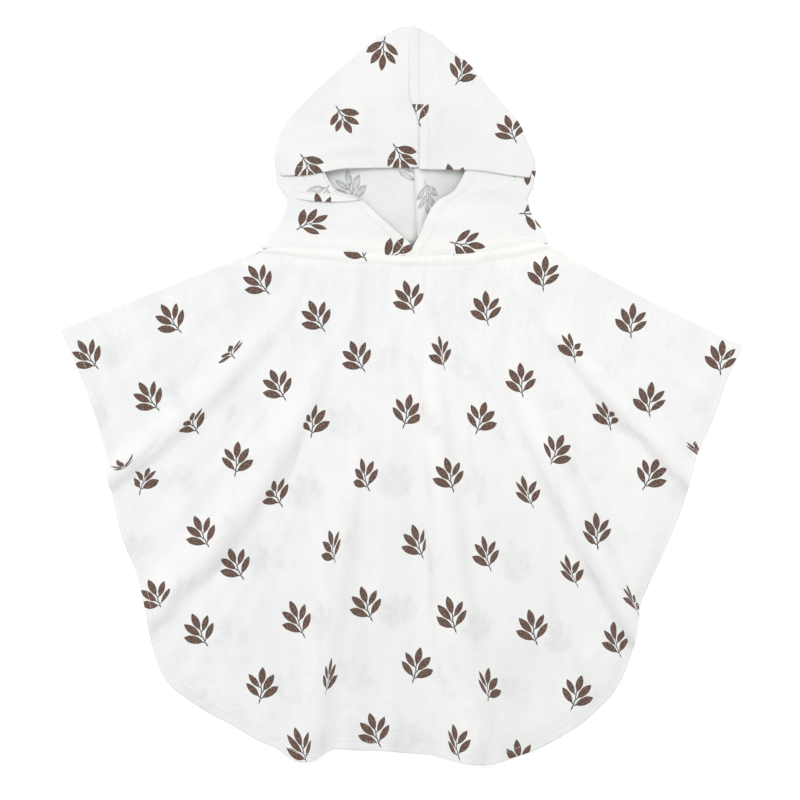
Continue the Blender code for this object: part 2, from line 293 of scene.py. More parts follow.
HOOD_RIGHT = (
    (12.0, 703.6, 8.9, 703.6, 703.6, 1.0, 2.0),
    (23.0, 699.5, 8.3, 700.5, 700.5, 1.2, 3.5),
    (34.0, 693.0, 7.9, 694.0, 694.0, 1.4, 5.5),
    (44.0, 683.5, 7.7, 685.0, 685.0, 1.7, 7.5),
    (62.0, 670.0, 7.7, 672.0, 672.0, 2.0, 9.5),
    (79.0, 651.0, 7.9, 653.0, 653.0, 2.3, 11.5),
    (95.0, 632.0, 8.9, 633.0, 634.0, 2.6, 13.0),
    (111.0, 613.0, 16.5, 613.0, 614.0, 3.0, 12.6),
    (119.8, 594.0, 17.3, 593.0, 594.0, 3.4, 13.2),
    (126.4, 579.0, 17.3, 580.0, 579.0, 3.6, 13.4),
    (127.6, 566.0, 17.3, 567.0, 568.0, 3.6, 13.4),
    (126.2, 557.5, 65.0, 574.0, 563.0, 3.2, 7.3),
    (125.0, 550.0, 51.0, 548.0, 552.0, 2.9, 7.8),
    (120.4, 539.0, 34.0, 537.0, 541.0, 2.6, 9.0),
    (123.0, 526.5, 24.5, 522.5, 530.0, 2.3, 9.5),
    (133.4, 511.5, 18.0, 506.5, 518.0, 2.0, 7.5),
    (136.2, 505.0, 12.0, 495.5, 510.5, 1.8, 6.2),
    (140.4, 497.3, 6.6, 481.8, 502.3, 1.5, 4.8),
)
HOOD_BACK_SEAM = ((502.0, 16.0), (703.0, 8.75))  # y and x at the neck and at the peak
SEWN_GAP = 0.155  # how far each half's edge moves into its seam, where the solids keep apart
# Height of the crown's hem across the hood, where it lies on the throat and over the mouth.
HEM_LEVELS = (
    (-118.0, 7.6),
    (-106.0, 8.4),
    (-96.0, 9.2),
    (-80.0, 9.3),
    (-62.0, 9.2),
    (-40.0, 9.2),
    (8.0, 9.8),
    (40.0, 9.2),
    (66.0, 8.9),
    (90.0, 8.6),
    (110.0, 8.2),
    (125.0, 7.6),
)
# How far the hem runs lower at the side of the hood: side, where it begins, over how far, fall.
HEM_DIPS = ((-1, 48.0, 48.0, 6.0), (1, 62.0, 62.0, 6.5))
INSIDE_RISE = 6.3  # how far the back of the hood stands up inside its mouth
SEAM_LAP = 1.3  # how far the right half's back laps over the left one's inside the mouth
HOOD_BACK_STEPS = 20
HOOD_SIDE_STEPS = 8
HOOD_CORNER_STEPS = 8
HOOD_CORNER = 18.0
HOOD_FRONT_STEPS = 44

# Where the printed repeat lies on each stretch of cloth: name, turn of the print in degrees,
# row and column of one sprig of it, and x, y of that sprig.
PRINTS = (
    ("left_sleeve", 20.5, 0, 0.0, -28.5, 563.4),
    ("left_side", 11.0, 0, 0.0, -18.1, 559.6),
    ("left_front", 10.5, 0, 0.0, -39.9, 580.5),
    ("middle_front", 2.5, 0, 0.0, -1.9, 573.8),
    ("right_front", -2.5, 0, 0.0, 4.8, 564.3),
    ("right_side", -11.5, 0, 0.0, 15.2, 567.2),
    ("right_sleeve", -20.0, 0, 0.0, 27.6, 566.2),
    ("back", 180.0, 0, 0.0, 4.0, 560.0),
    ("left_crown", -170.0, 8, 0.0, -18.0, 677.5),
    ("right_crown_top", -8.0, 8, 0.0, 58.6, 666.6),
    ("right_crown", 4.0, 9, 0.5, 99.1, 607.7),
    ("left_throat", -78.0, 6, 0.0, -84.3, 519.6),
    ("right_throat", -82.0, 8, 0.0, 62.2, 497.8),
    ("left_lapel", 166.4, 0, 0.0, -76.6, 539.4),
    ("left_lapel_hem", 0.0, 1, 0.5, -77.3, 529.4),
    ("right_throat_side", -112.0, 7, -0.5, 129.0, 525.0),
    ("right_edge", 165.0, 10, 1.0, 121.0, 569.0),
    ("left_back", 24.0, 8, 0.0, -47.0, 551.0),
    ("right_back", 172.0, 6, 0.0, 25.0, 540.5),
)

# Places of the sprigs on the laid cloth: the stretches that follow it, row and column of the
# print, x, y.
SPRIGS = (
    ("left_sleeve", 1, -3.5, -298, 391),
    ("left_sleeve", 1, -2.5, -219, 425),
    ("left_sleeve left_side", 1, -1.5, -136, 462),
    ("left_sleeve", 2, -3.0, -240, 351),
    ("left_sleeve left_side", 2, -2.0, -161, 393),
    ("left_sleeve", 3, -3.5, -260, 291),
    ("left_side", 3, -2.5, -200, 330),
    ("left_side left_front", 3, -1.5, -118, 363),
    ("left_side", 4, -3.0, -242, 270),
    ("left_side", 4, -2.0, -155, 293),
    ("left_side", 5, -2.5, -190, 223),
    ("left_side", 6, -3.0, -233.5, 162),
    ("left_side left_front", 2, -1.0, -81, 428),
    ("left_front", 4, -1.0, -83, 330),
    ("left_front", 5, -1.5, -120, 261),
    ("left_front", 6, -2.0, -158, 193),
    ("left_front", 7, -2.5, -192, 130),
    ("left_front", 7, -1.5, -99, 142),
    ("left_front", 8, -2.0, -131, 78),
    ("left_front", 8, -3.0, -231, 64),
    ("left_front", 9, -1.5, -94, 31),
    ("left_side left_front middle_front", 1, -0.5, -41, 495),
    ("left_front middle_front right_front", 2, 0.0, 7, 446),
    ("middle_front right_front", 3, 0.5, 37, 394),
    ("left_front middle_front", 3, -0.5, -43, 390),
    ("middle_front", 4, 0.0, 7, 338),
    ("middle_front", 5, -0.5, -36.5, 278),
    ("middle_front", 6, 0.0, 15, 214),
    ("middle_front", 7, -0.5, -34, 155),
    ("middle_front", 8, 0.0, 16, 97),
    ("middle_front", 9, -0.5, -26, 35),
    ("right_front", 4, 1.0, 77, 332),
    ("right_front", 5, 0.5, 45, 278),
    ("right_front", 5, 1.5, 120, 262),
    ("right_front", 6, 1.0, 80, 203),
    ("right_front", 6, 2.0, 162, 187),
    ("right_front", 7, 0.5, 47, 147),
    ("right_front", 7, 1.5, 124, 133),
    ("right_front", 7, 2.5, 202, 120),
    ("right_front", 8, 2.0, 168, 71),
    ("right_front", 9, 0.5, 53, 28),
    ("right_front", 9, 1.5, 111, 9),
    ("right_front right_side", 2, 1.0, 80, 436),
    ("right_front right_side", 3, 1.5, 113, 368),
    ("right_side", 3, 2.5, 194, 334),
    ("right_side", 4, 2.0, 148, 301),
    ("right_side", 4, 3.0, 238, 278),
    ("right_side", 5, 2.5, 184, 225),
    ("right_side right_sleeve", 1, 1.5, 135, 469),
    ("right_sleeve", 1, 2.5, 218, 424),
    ("right_sleeve", 1, 3.5, 303, 389),
    ("right_side right_sleeve", 2, 2.0, 160, 398),
    ("right_sleeve", 2, 3.0, 235, 349),
    ("right_sleeve", 3, 3.5, 284, 303),
    ("left_crown", 8, 0.0, -18, 677),
    ("left_crown", 7, 0.5, -53, 614),
    ("left_crown", 6, 0.0, 1, 577),
    ("left_crown", 6, 1.0, -86.5, 567.5),
    ("right_crown_top", 8, 0.0, 59, 662),
    ("right_crown", 9, -0.5, 12, 623),
    ("right_crown", 9, 0.5, 103, 605),
    ("right_crown", 10, 0.0, 49, 556),
    ("right_crown", 10, 1.0, 152, 558),
    ("left_throat", 6, 0.0, -85, 518),
    ("left_throat", 5, 0.5, -3, 489),
    ("right_throat", 8, 0.0, 63, 495),
    ("left_back", 8, 0.0, -47, 551),
    ("left_back", 8, 1.0, 11, 567),
    ("left_back", 9, 0.5, 58, 503),
    ("right_throat", 7, -0.5, 150, 543),
)
SPRIG_HOLD = 16.0  # reach over which the print keeps to a sprig's place

# Tucks, where a steep side hides a little of the cloth and squeezes the print: x, y, direction
# of the tuck in degrees, cloth hidden, width.
TUCKS = (
    (-162, 394, 223, 24, 3.5),
    (39, 393, -83, 10, 4.0),
    (164, 399, -50, 13, 4.0),
    (198, 335, -47, 9, 4.0),
    (-246, 272, 223, 13, 4.0),
    (-268, 285, 180, 26, 3.0),
    (278, 301, -36, 30, 4.0),
    (222, 156, -60, 30, 4.0),
    (81, 203, -76, 6, 6.0),
    (203, 119, -60, 9, 6.0),
    (-53, 612, 0, 7, 12.0),
    (-85, 517, 0, 6, 12.0),
    (103, 605, 10, 9, 12.0),
    (60, 668, 78, 4, 2.5),
    (25, 541, 90, 14, 8.0),
    (-67, 210, -102, 12, 7.0),
    (-120, 262, 228, 4, 4.0),
    (75, 84, -76, 8, 5.0),
    (48, 26, -86, 7, 4.0),
    (158, 187, -55, 15, 6.0),
    (116, 262, -55, 11, 6.0),
)
TUCK_REACH = 24.0

# One sprig, in millimetres from its middle: the leaves, with the places of their two ends,
# their width, and the place along them and radius of the round part of a blunt leaf.
LEAVES = (
    ("lowest_left", 2.2, -11.6, -15.0, -3.9, 7.5, 0.68, 3.3),
    ("upper_left", 0.4, -5.0, -12.6, 8.2, 7.1, 0.60, 2.9),
    ("top", 1.2, 0.7, -3.4, 17.1, 6.9, 0.0, 0.0),
    ("upper_right", 3.6, -1.3, 11.2, 12.9, 5.7, 0.0, 0.0),
    ("lower_right", 5.2, -9.7, 15.0, 4.9, 6.1, 0.0, 0.0),
)
# The stems between them: places of the two ends, and width.
STEMS = (
    (6.4, -17.1, 3.9, -11.1, 1.3),
    (4.6, -13.1, 2.2, -5.1, 1.2),
    (2.5, -7.1, 1.7, -0.1, 1.1),
    (2.1, -2.1, 0.9, 2.7, 1.1),
    (4.6, -12.6, 0.0, -10.7, 1.2),
    (3.1, -7.9, -0.8, -3.9, 1.2),
    (1.9, -2.3, 4.6, 0.3, 1.1),
    (4.5, -11.5, 6.0, -8.1, 1.1),
)


def linear(colour):
    """The linear red, green and blue of an sRGB hex colour, and 1 for an opaque one."""
    parts = [int(colour[i : i + 2], 16) / 255 for i in (1, 3, 5)]
    return (*(p / 12.92 if p <= 0.04045 else ((p + 0.055) / 1.055) ** 2.4 for p in parts), 1.0)


LENGTH = {"unit": "LENGTH", "precision": 5}
COLOUR = {"subtype": "COLOR", "size": 4, "min": 0, "max": 1}


class PonchoCloth(bpy.types.PropertyGroup):
    """Sizes of the cloth and of how it is made up."""

    thickness: FloatProperty(
        name="Thickness", description="Wall of the cloth", default=0.00095, min=0.0003, **LENGTH
    )
    band_thickness: FloatProperty(
        name="Hem thickness", description="Wall at the turned hems and seams", default=0.0014, **LENGTH
    )
    hem_width: FloatProperty(
        name="Hem width", description="Width of the turned hem", default=0.0095, **LENGTH
    )
    crinkle: FloatProperty(
        name="Crinkle", description="Height of the cloth's uneven lie", default=0.00035, **LENGTH
    )
    stitch: FloatProperty(
        name="Stitch", description="Distance from one stitch to the next", default=0.0032, **LENGTH
    )
    thread: FloatProperty(
        name="Thread", description="Diameter of the sewing thread", default=0.00045, **LENGTH
    )


class PonchoPrint(bpy.types.PropertyGroup):
    """The repeat and the colours of the printed cloth."""

    pitch: FloatProperty(
        name="Repeat across", description="Distance between sprigs of a row", default=0.0912, **LENGTH
    )
    row_pitch: FloatProperty(
        name="Row pitch", description="Distance between rows of sprigs", default=0.05985, **LENGTH
    )
    white: FloatVectorProperty(
        name="Cloth", description="Bleached muslin", default=linear("#E9E9E9"), **COLOUR
    )
    leaf: FloatVectorProperty(
        name="Leaf", description="Printed leaves", default=linear("#523A2F"), **COLOUR
    )
    stem: FloatVectorProperty(
        name="Stem", description="Printed stems", default=linear("#353133"), **COLOUR
    )
    show_through: FloatProperty(
        name="Show-through",
        description="Share of the print of the layer below that greys the cloth above",
        default=0.062,
        min=0,
        max=1,
        subtype="FACTOR",
    )


class PonchoStage(bpy.types.PropertyGroup):
    """The table, the lights and the camera."""

    table_glow: FloatProperty(
        name="Table glow", description="Light that the lit table top gives", default=0.25, min=0
    )
    table: FloatVectorProperty(
        name="Table", description="Lit acrylic table top", default=linear("#FFFFFF"), **COLOUR
    )
    camera_height: FloatProperty(
        name="Camera height", description="Height of the camera above the cloth", default=2.114, **LENGTH
    )
    key_power: FloatProperty(
        name="Key light", description="Power of the large soft box", default=118.0, unit="POWER"
    )
    fill_power: FloatProperty(
        name="Fill light", description="Power of the soft box opposite", default=26.0, unit="POWER"
    )
    sky: FloatProperty(
        name="Ambient", description="Strength of the light from all round", default=0.727, min=0
    )


def cloth_settings():
    return bpy.context.scene.poncho_cloth


def smooth(value):
    """0 below 0, 1 above 1, and a soft step between."""
    value = np.clip(value, 0.0, 1.0)
    return value * value * (3.0 - 2.0 * value)


def table_value(table, at, column=1):
    """Reads a column of a table at values of its first column, on straight lines between rows."""
    columns = np.array(table).T
    return np.interp(at, columns[0], columns[column])


def soft_curve(s, start, leaving, end, arriving):
    """Places at shares s of a soft curve, from its ends and how it leaves and reaches them."""
    return (
        (2 * s**3 - 3 * s**2 + 1) * start
        + (s**3 - 2 * s**2 + s) * leaving
        + (3 * s**2 - 2 * s**3) * end
        + (s**3 - s**2) * arriving
    )


def curve_through(rows, at):
    """Reads a table between its rows, on a soft curve: at holds row numbers with fractions."""
    rows = np.asarray(rows, float)
    slope = np.gradient(rows, axis=0)
    low = np.clip(np.floor(at).astype(int), 0, len(rows) - 2)
    s = (np.asarray(at, float) - low)[:, None]
    return soft_curve(s, rows[low], slope[low], rows[low + 1], slope[low + 1])


CREASE_BOW = 0.06  # how far a crease bows sideways, as a share of its length
CREASE_MIDDLE = 0.45  # share of its length where it is deepest
CREASE_FADE = 0.42  # share of its length over which it fades to either end


def crease_heights(places, creases, spread):
    """Height of the creases at the places given in plan; spread widens them all."""
    total = np.zeros(len(places))
    for x1, y1, x2, y2, width, height in creases:
        start, run = np.array([x1, y1]), np.array([x2 - x1, y2 - y1])
        length = np.linalg.norm(run)
        share = (places - start) @ run / length**2
        bow = CREASE_BOW * length * np.sin(math.pi * np.clip(share, 0, 1))
        off = (places - start) @ np.array([-run[1], run[0]]) / length - bow
        fade = np.exp(-(((share - CREASE_MIDDLE) / CREASE_FADE) ** 4))
        total += height * fade * np.exp(-((off / (spread * width)) ** 2))
    return total


# Uneven lie of the cloth, drawn out along the warp and broad: size across the warp and along
# it, place in the noise, and share.
UNEVEN_LIE = (
    (11.0, 52.0, 0.0, 0.65),
    (42.0, 46.0, 7.0, 0.75),
)


def crinkle_heights(prints, seed):
    """Uneven lie of crinkled cloth, about -1 to 1, at places on the printed cloth."""
    heights = np.zeros(len(prints))
    for wide, long, apart, share in UNEVEN_LIE:
        heights += [share * noise.noise(Vector((u / wide, v / long, seed + apart))) for u, v in prints]
    return heights


def print_at(stretch, places):
    """Place on the printed cloth, in millimetres, of places in plan on a named stretch of it."""
    settings = bpy.context.scene.poncho_print
    pitch = np.array([settings.pitch, -settings.row_pitch]) / MM
    _, turn, row, column, x, y = next(entry for entry in PRINTS if entry[0] == stretch)
    across = np.array([math.cos(math.radians(turn)), math.sin(math.radians(turn))])
    along = np.array([-across[1], across[0]])
    zero = np.array([x, y]) - column * pitch[0] * across - row * pitch[1] * along
    # Each sprig in the table draws the print around it to its place.
    shift = np.zeros_like(places)
    weights = np.full(len(places), 1e-9)
    for _, row, column, x, y in (s for s in SPRIGS if stretch in s[0].split()):
        even = zero + column * pitch[0] * across + row * pitch[1] * along
        weight = 1 / (((places - (x, y)) ** 2).sum(1) + SPRIG_HOLD**2) ** 2
        shift += weight[:, None] * (np.array([x, y]) - even)
        weights += weight
    lie = places - shift / weights[:, None] - zero
    for x, y, turn, hidden, width in TUCKS:
        gap = places - (x, y)
        squeezed = np.array([-math.sin(math.radians(turn)), math.cos(math.radians(turn))])
        near = np.exp(-(gap**2).sum(1) / TUCK_REACH**2)
        lie += squeezed * (0.5 * hidden * np.tanh(gap @ squeezed / width) * near)[:, None]
    return np.stack([lie @ across, lie @ along], axis=1)


def grid_normals(grid, closed):
    """Unit normals of a grid of points (rings, stations, 3)."""
    down = np.gradient(grid, axis=0)
    if closed:
        over = np.roll(grid, -1, axis=1) - np.roll(grid, 1, axis=1)
    else:
        over = np.gradient(grid, axis=1)
    normals = np.cross(down, over)
    return normals / (np.linalg.norm(normals, axis=2, keepdims=True) + 1e-12)


BAND_LEVELS = 32  # steps between the thin wall and the thick one


def band_group(obj, shares):
    """Thickens the wall where the share is near 1, as at a turned hem."""
    settings = cloth_settings()
    thin = settings.thickness / settings.band_thickness
    group = obj.vertex_groups.new(name="band")
    levels = np.round((thin + (1 - thin) * shares) * BAND_LEVELS) / BAND_LEVELS
    for level in np.unique(levels):
        group.add(np.nonzero(levels == level)[0].tolist(), float(level), "REPLACE")


def smooth_object(name, points, faces, materials):
    """A smooth mesh from points in the plan of the tables."""
    mesh = bpy.data.meshes.new(name)
    placed = (np.asarray(points) - (*PLAN_CENTRE, 0.0)) * MM
    mesh.from_pydata(placed.tolist(), [], faces)
    mesh.polygons.foreach_set("use_smooth", [True] * len(faces))
    for material in materials:
        mesh.materials.append(material)
    mesh.update()
    obj = bpy.data.objects.new(name, mesh)
    bpy.context.scene.collection.objects.link(obj)
    return obj


def cloth_object(name, points, faces, face_prints, prints, bands, materials):
    """A cloth: its middle surface, its place on the printed cloth, and its wall by a Solidify."""
    obj = smooth_object(name, points, faces, materials)
    corners = np.array([corner for face in faces for corner in face])
    stretch = np.repeat(face_prints, [len(face) for face in faces])
    places = np.stack(prints)[stretch, corners] * MM
    layer = obj.data.uv_layers.new(name="cloth")
    layer.data.foreach_set("uv", places.astype(np.float32).ravel())
    band_group(obj, bands)
    wall = obj.modifiers.new("wall", "SOLIDIFY")
    wall.thickness = cloth_settings().band_thickness
    wall.offset = 0.0
    wall.vertex_group = "band"
    wall.material_offset = 1
    return obj


def quad(row, column, columns, start=0):
    """Corners of one face of a grid of points; past its last column a grid is closed."""
    here, below = start + row * columns, start + (row + 1) * columns
    after = (column + 1) % columns
    return here + column, below + column, below + after, here + after


# Turned hems: half the width over which the doubled wall thins out, rise of the band, and depth
# and half the width of the groove at its stitches.
BODY_HEM = (0.6, 0.30, 0.32, 0.7)
HOOD_HEM = (0.8, 0.35, 0.35, 0.9)
GROOVE_IN = 1.2  # from the inner edge of the band to the groove
STITCH_LINE = 8.2  # from the edge of a hem to its stitches


def turned_hem(distance, half_soft, rise, depth, half_groove):
    """Share of the doubled wall and rise of the cloth, at distances from the edge of a hem."""
    inner_edge = cloth_settings().hem_width / MM
    band = smooth((inner_edge + half_soft - distance) / (2 * half_soft))
    groove = np.exp(-(((distance - inner_edge + GROOVE_IN) / half_groove) ** 2))
    return band, rise * band - depth * groove


def neck_place(x, back=False):
    return np.array([x, table_value(NECK, x, 2 if back else 1)])


def line_places(row, shares, back=False):
    """Places in plan along one line down the cloth."""
    start, end = neck_place(row[1], back), np.array(row[4:6], float)
    middle = (start + end) / 2 if back else np.array(row[2:4], float)
    t = shares[:, None]
    return start * (1 - t) * (1 - 2 * t) + middle * 4 * t * (1 - t) + end * t * (2 * t - 1)


WELT_STITCHES = 5.6  # from the neck seam to the stitches below the welt
# Distances from the neck seam and from the hem at which rings of the body lie, and the number
# of even rings between. The front's first rings reach over the hood as a rounded welt.
NECK_RINGS = (-3.8, -3.4, -2.4, -1.0, 0.6, 2.2, 3.5, 4.6, WELT_STITCHES, 7.0, 9.0)
HEM_RINGS = (12.5, 11.0, 10.0, 9.4, 8.8, STITCH_LINE, 6.0, 3.5, 1.2, 0.0)
EVEN_RINGS = 84
RUN_SAMPLES = 30  # places along a line that its length is measured over
FAR = 100.0  # distance from an edge, for what lies away from it
WELT_AT_SHOULDER = 0.15  # share of its reach over the hood that the welt has at the shoulders
NECK_SLOPE = 0.12  # share of the length over which the front comes down from the neck

# Rounded welt over the neck seam: distance from the seam, and height.
WELT_PROFILE = (
    (-3.8, -1.7),
    (-3.4, -0.75),
    (-2.4, 0.30),
    (-1.0, 0.95),
    (0.6, 1.20),
    (2.2, 1.05),
    (3.5, 0.60),
    (4.6, 0.18),
    (WELT_STITCHES, 0.0),
)


def ring_shares(row, over=WELT_AT_SHOULDER):
    """Shares of a line's length at which the rings cross it; over is how far the welt reaches."""
    run = line_places(row, np.linspace(0, 1, RUN_SAMPLES))
    length = np.linalg.norm(np.diff(run, axis=0), axis=1).sum()
    even = np.linspace(NECK_RINGS[-1] / length, 1 - HEM_RINGS[0] / length, EVEN_RINGS)
    first = np.array(NECK_RINGS[:-1]) / length
    first = np.where(first < 0, first * over, first)
    last = 1 - np.array(HEM_RINGS[1:]) / length
    return np.concatenate([first, even, last])


def hem_distance(count):
    """Distance from the hem of each ring: exact near the hem, and FAR elsewhere."""
    return np.concatenate([np.full(count - len(HEM_RINGS), FAR), HEM_RINGS])


def neck_distance(count):
    """Distance from the neck seam of each ring: exact near the seam, and FAR elsewhere."""
    return np.concatenate([NECK_RINGS, np.full(count - len(NECK_RINGS), FAR)])


def front_level(t):
    return FRONT_LEVEL + (NECK_LEVEL - FRONT_LEVEL) * (1 - smooth(t / NECK_SLOPE))


def line_tangents(lines):
    """Direction of a soft curve that crosses the lines, at each line, for each ring."""
    step = np.diff(lines, axis=0)
    gap = np.linalg.norm(step, axis=2, keepdims=True) + 1e-9
    way = step / gap
    inner = (way[:-1] * gap[1:] + way[1:] * gap[:-1]) / (gap[:-1] + gap[1:])
    return np.concatenate([way[:1], inner, way[-1:]]), gap


def across(lines, tangents, gaps, strip, share):
    """Places at a share of the way from one line to the next; the share may differ by ring."""
    s = np.asarray(share)[..., None] * np.ones((lines.shape[1], 1))
    leaving, arriving = gaps[strip] * tangents[strip], gaps[strip] * tangents[strip + 1]
    return soft_curve(s, lines[strip], leaving, lines[strip + 1], arriving)


def fold_stations(fold, lines, tangents, gaps, shares):
    """Stations across one deep fold, without its first: points and places on the print."""
    _, first, begins, half_height, hem_height, hem_reach, lean, spare_from, spare_to = fold
    t = shares[first]
    profile = curve_through(FOLD_PROFILE, np.linspace(0, len(FOLD_PROFILE) - 1, FOLD_SAMPLES + 1))
    if lean < 0:
        profile = np.stack([1 - profile[::-1, 0], profile[::-1, 1]], axis=1)
    grown = smooth((t - begins) / FOLD_GROWS)
    height = (half_height + (hem_height - half_height) * np.maximum(0, 2 * t - 1)) * grown
    along = np.gradient(lines[first], axis=0)
    along /= np.linalg.norm(along, axis=1, keepdims=True)
    out = smooth((t - HEM_SWELL_START) / (1 - HEM_SWELL_START))
    stations, prints = [], []
    for even, (share, up) in zip(np.linspace(0, 1, len(profile)), profile):
        plan = across(lines, tangents, gaps, first, even + (share - even) * grown)
        before, after = (print_at(LINES[first + k][7], plan) for k in (0, 1))
        taken = smooth((share - spare_from) / (spare_to - spare_from))
        prints.append(before + (after - before) * taken)
        plan = plan + along * (hem_reach * up * out)[:, None]
        stations.append(np.column_stack([plan, front_level(t) + height * up]))
    return stations[1:], prints[1:]


def shoulder_stations(side, shares, angles):
    """Stations over a shoulder fold at the angles given (-90 is the back, 90 the front)."""
    index = 0 if side < 0 else len(LINES) - 1
    row = LINES[index]
    start, end = line_places(row, np.array([0.0, 1.0]))
    along = (end - start) / np.linalg.norm(end - start)
    inward = np.array([-along[1], along[0]]) if side < 0 else np.array([along[1], -along[0]])
    edge = line_places(row, shares[index])
    radius = (front_level(shares[index]) - BACK_LEVEL)[:, None] / 2
    stations = []
    for angle in angles:
        turn = math.radians(angle)
        plan = edge + inward * radius * (1 - math.cos(turn))
        height = BACK_LEVEL + radius * (1 + math.sin(turn))
        stations.append(np.concatenate([plan, height], axis=1))
    return stations


STATION_STEP = 6.0  # along the hem, in the plain cloth between the folds
SWELL_ROOM = 34.0  # distance between two lines that lets the cloth between them swell fully
SHOULDER_ANGLES = (60, 30, 0, -30, -60, -90)
BACK_STEPS = 3  # of the back, between two lines
BACK_LIFT = 0.12  # of the back's cloth over the middle of its solid
FRONT_LENGTH = 480.0  # down the front, for the crinkles that fan out over it
FRONT_NOISE = 3.0  # place of the front's uneven lie in the noise
BODY_CREASE_GAIN = 1.75  # depth of the front's creases over what their table says
BACK_CREASE_SPREAD = 0.62  # width of the back's creases over what their table says
# How far the front lies above its edges between the folds, and where it has risen so far: the
# distance from its sides, and the share of its length from the neck and from the hem.
LOOSE_RISE = 3.0
LOOSE_FROM_SIDE = 30.0
LOOSE_FROM_NECK = 0.15
LOOSE_FROM_HEM = 0.07
LOWEST_FRONT = FRONT_LEVEL - 0.25
SOFT_FLOOR = 0.35  # height over which a trough of the front rounds off on the back
WELT_FROM_SIDE = 12.0  # distance from the shoulders over which the welt grows
CROSSING = (7.0, 9.0, 0.7)  # of the hood's edges under the welt: x, half-width and rise
CROSSING_ENDS = (4.6, 2.0)  # that rise: how far below the neck seam, and over how far
WELT_WALL = (5.2, 1.2, 0.5)  # where the welt's thick wall ends, over how far, and its share


def front_stations(shares):
    """All stations of the front, from the left shoulder to the right, with their prints."""
    lines = np.stack([line_places(row, shares[i]) for i, row in enumerate(LINES)])
    tangents, gaps = line_tangents(lines)
    folds = {fold[1]: fold for fold in FOLDS}
    stations, prints = [], []
    for strip in range(len(LINES) - 1):
        if strip in folds:
            points, places = fold_stations(folds[strip], lines, tangents, gaps, shares)
            stations += points
            prints += places
            continue
        steps = max(3, math.ceil(float(gaps[strip][-1, 0]) / STATION_STEP))
        for share in np.linspace(0, 1, steps + 1)[0 if strip == 0 else 1 :]:
            plan = across(lines, tangents, gaps, strip, share)
            t = shares[strip] * (1 - share) + shares[strip + 1] * share
            room = smooth(gaps[strip][:, 0] / SWELL_ROOM)
            swell = LINES[strip][6] * math.sin(math.pi * share) ** 2 * smooth(2 * t) * room
            stations.append(np.column_stack([plan, front_level(t) + swell]))
            prints.append(print_at(LINES[strip][7], plan))
    return np.stack(stations, axis=1), np.stack(prints, axis=1)


def back_stations(shares):
    """Stations of the back, from the right shoulder to the left, both shoulders left out."""
    lines = np.stack([line_places(row, shares[i], back=True) for i, row in enumerate(LINES)])
    stations = []
    for strip in range(len(LINES) - 2, -1, -1):
        for share in np.linspace(1, 0, BACK_STEPS + 1)[1:]:
            plan = lines[strip] * (1 - share) + lines[strip + 1] * share
            stations.append(np.column_stack([plan, np.full(len(plan), BACK_LEVEL + BACK_LIFT)]))
    return np.stack(stations[:-1], axis=1)


def front_crinkles(front):
    """Uneven lie of the front. It fans out: each station keeps its place across the folds."""
    middle = front[len(front) // 2, :, :2]
    over_folds = np.concatenate([[0.0], np.cumsum(np.linalg.norm(np.diff(middle, axis=0), axis=1))])
    down_folds = np.linspace(0, FRONT_LENGTH, len(front))
    places = np.stack(np.meshgrid(over_folds, down_folds), axis=-1).reshape(-1, 2)
    return crinkle_heights(places, FRONT_NOISE).reshape(front.shape[:2])


def lay_front(front, down):
    """Gives the front its crinkles, its creases and its loose lie; down is the share of its length."""
    flat = front[..., :2].reshape(-1, 2)
    front[..., 2] += cloth_settings().crinkle / MM * front_crinkles(front) * smooth(2 * down)
    creases = crease_heights(flat, BODY_CREASES, 1.0).reshape(len(front), -1)
    front[..., 2] += BODY_CREASE_GAIN * creases
    # Between its edges the front lies loose, so that its creases have room above the back.
    along_ring = np.cumsum(np.linalg.norm(np.diff(front[..., :2], axis=1), axis=2), axis=1)
    from_left = np.concatenate([np.zeros((len(front), 1)), along_ring], axis=1)
    from_side = np.minimum(from_left, from_left[:, -1:] - from_left)
    loose = smooth(from_side / LOOSE_FROM_SIDE) * smooth(down / LOOSE_FROM_NECK)
    front[..., 2] += LOOSE_RISE * loose * smooth((1 - down) / LOOSE_FROM_HEM)


def finish_front(front, hem_rise, neck):
    """Raises the turned hem and the welt of the neck seam, and keeps the front above the back."""
    from_side = np.minimum(front[0, :, 0] - front[0, 0, 0], front[0, -1, 0] - front[0, :, 0])
    x, half_width, rise = CROSSING
    over_edges = rise * np.exp(-(((front[0, :, 0] - x) / half_width) ** 2))
    ends, soft = CROSSING_ENDS
    crossing = over_edges * smooth((ends - neck) / soft)[:, None]
    welt = table_value(WELT_PROFILE, neck)[:, None] * smooth(from_side / WELT_FROM_SIDE)
    front[..., 2] += hem_rise[:, None] + welt + crossing
    room = front[..., 2] - LOWEST_FRONT
    front[..., 2] = LOWEST_FRONT + 0.5 * (room + np.sqrt(room**2 + SOFT_FLOOR**2))


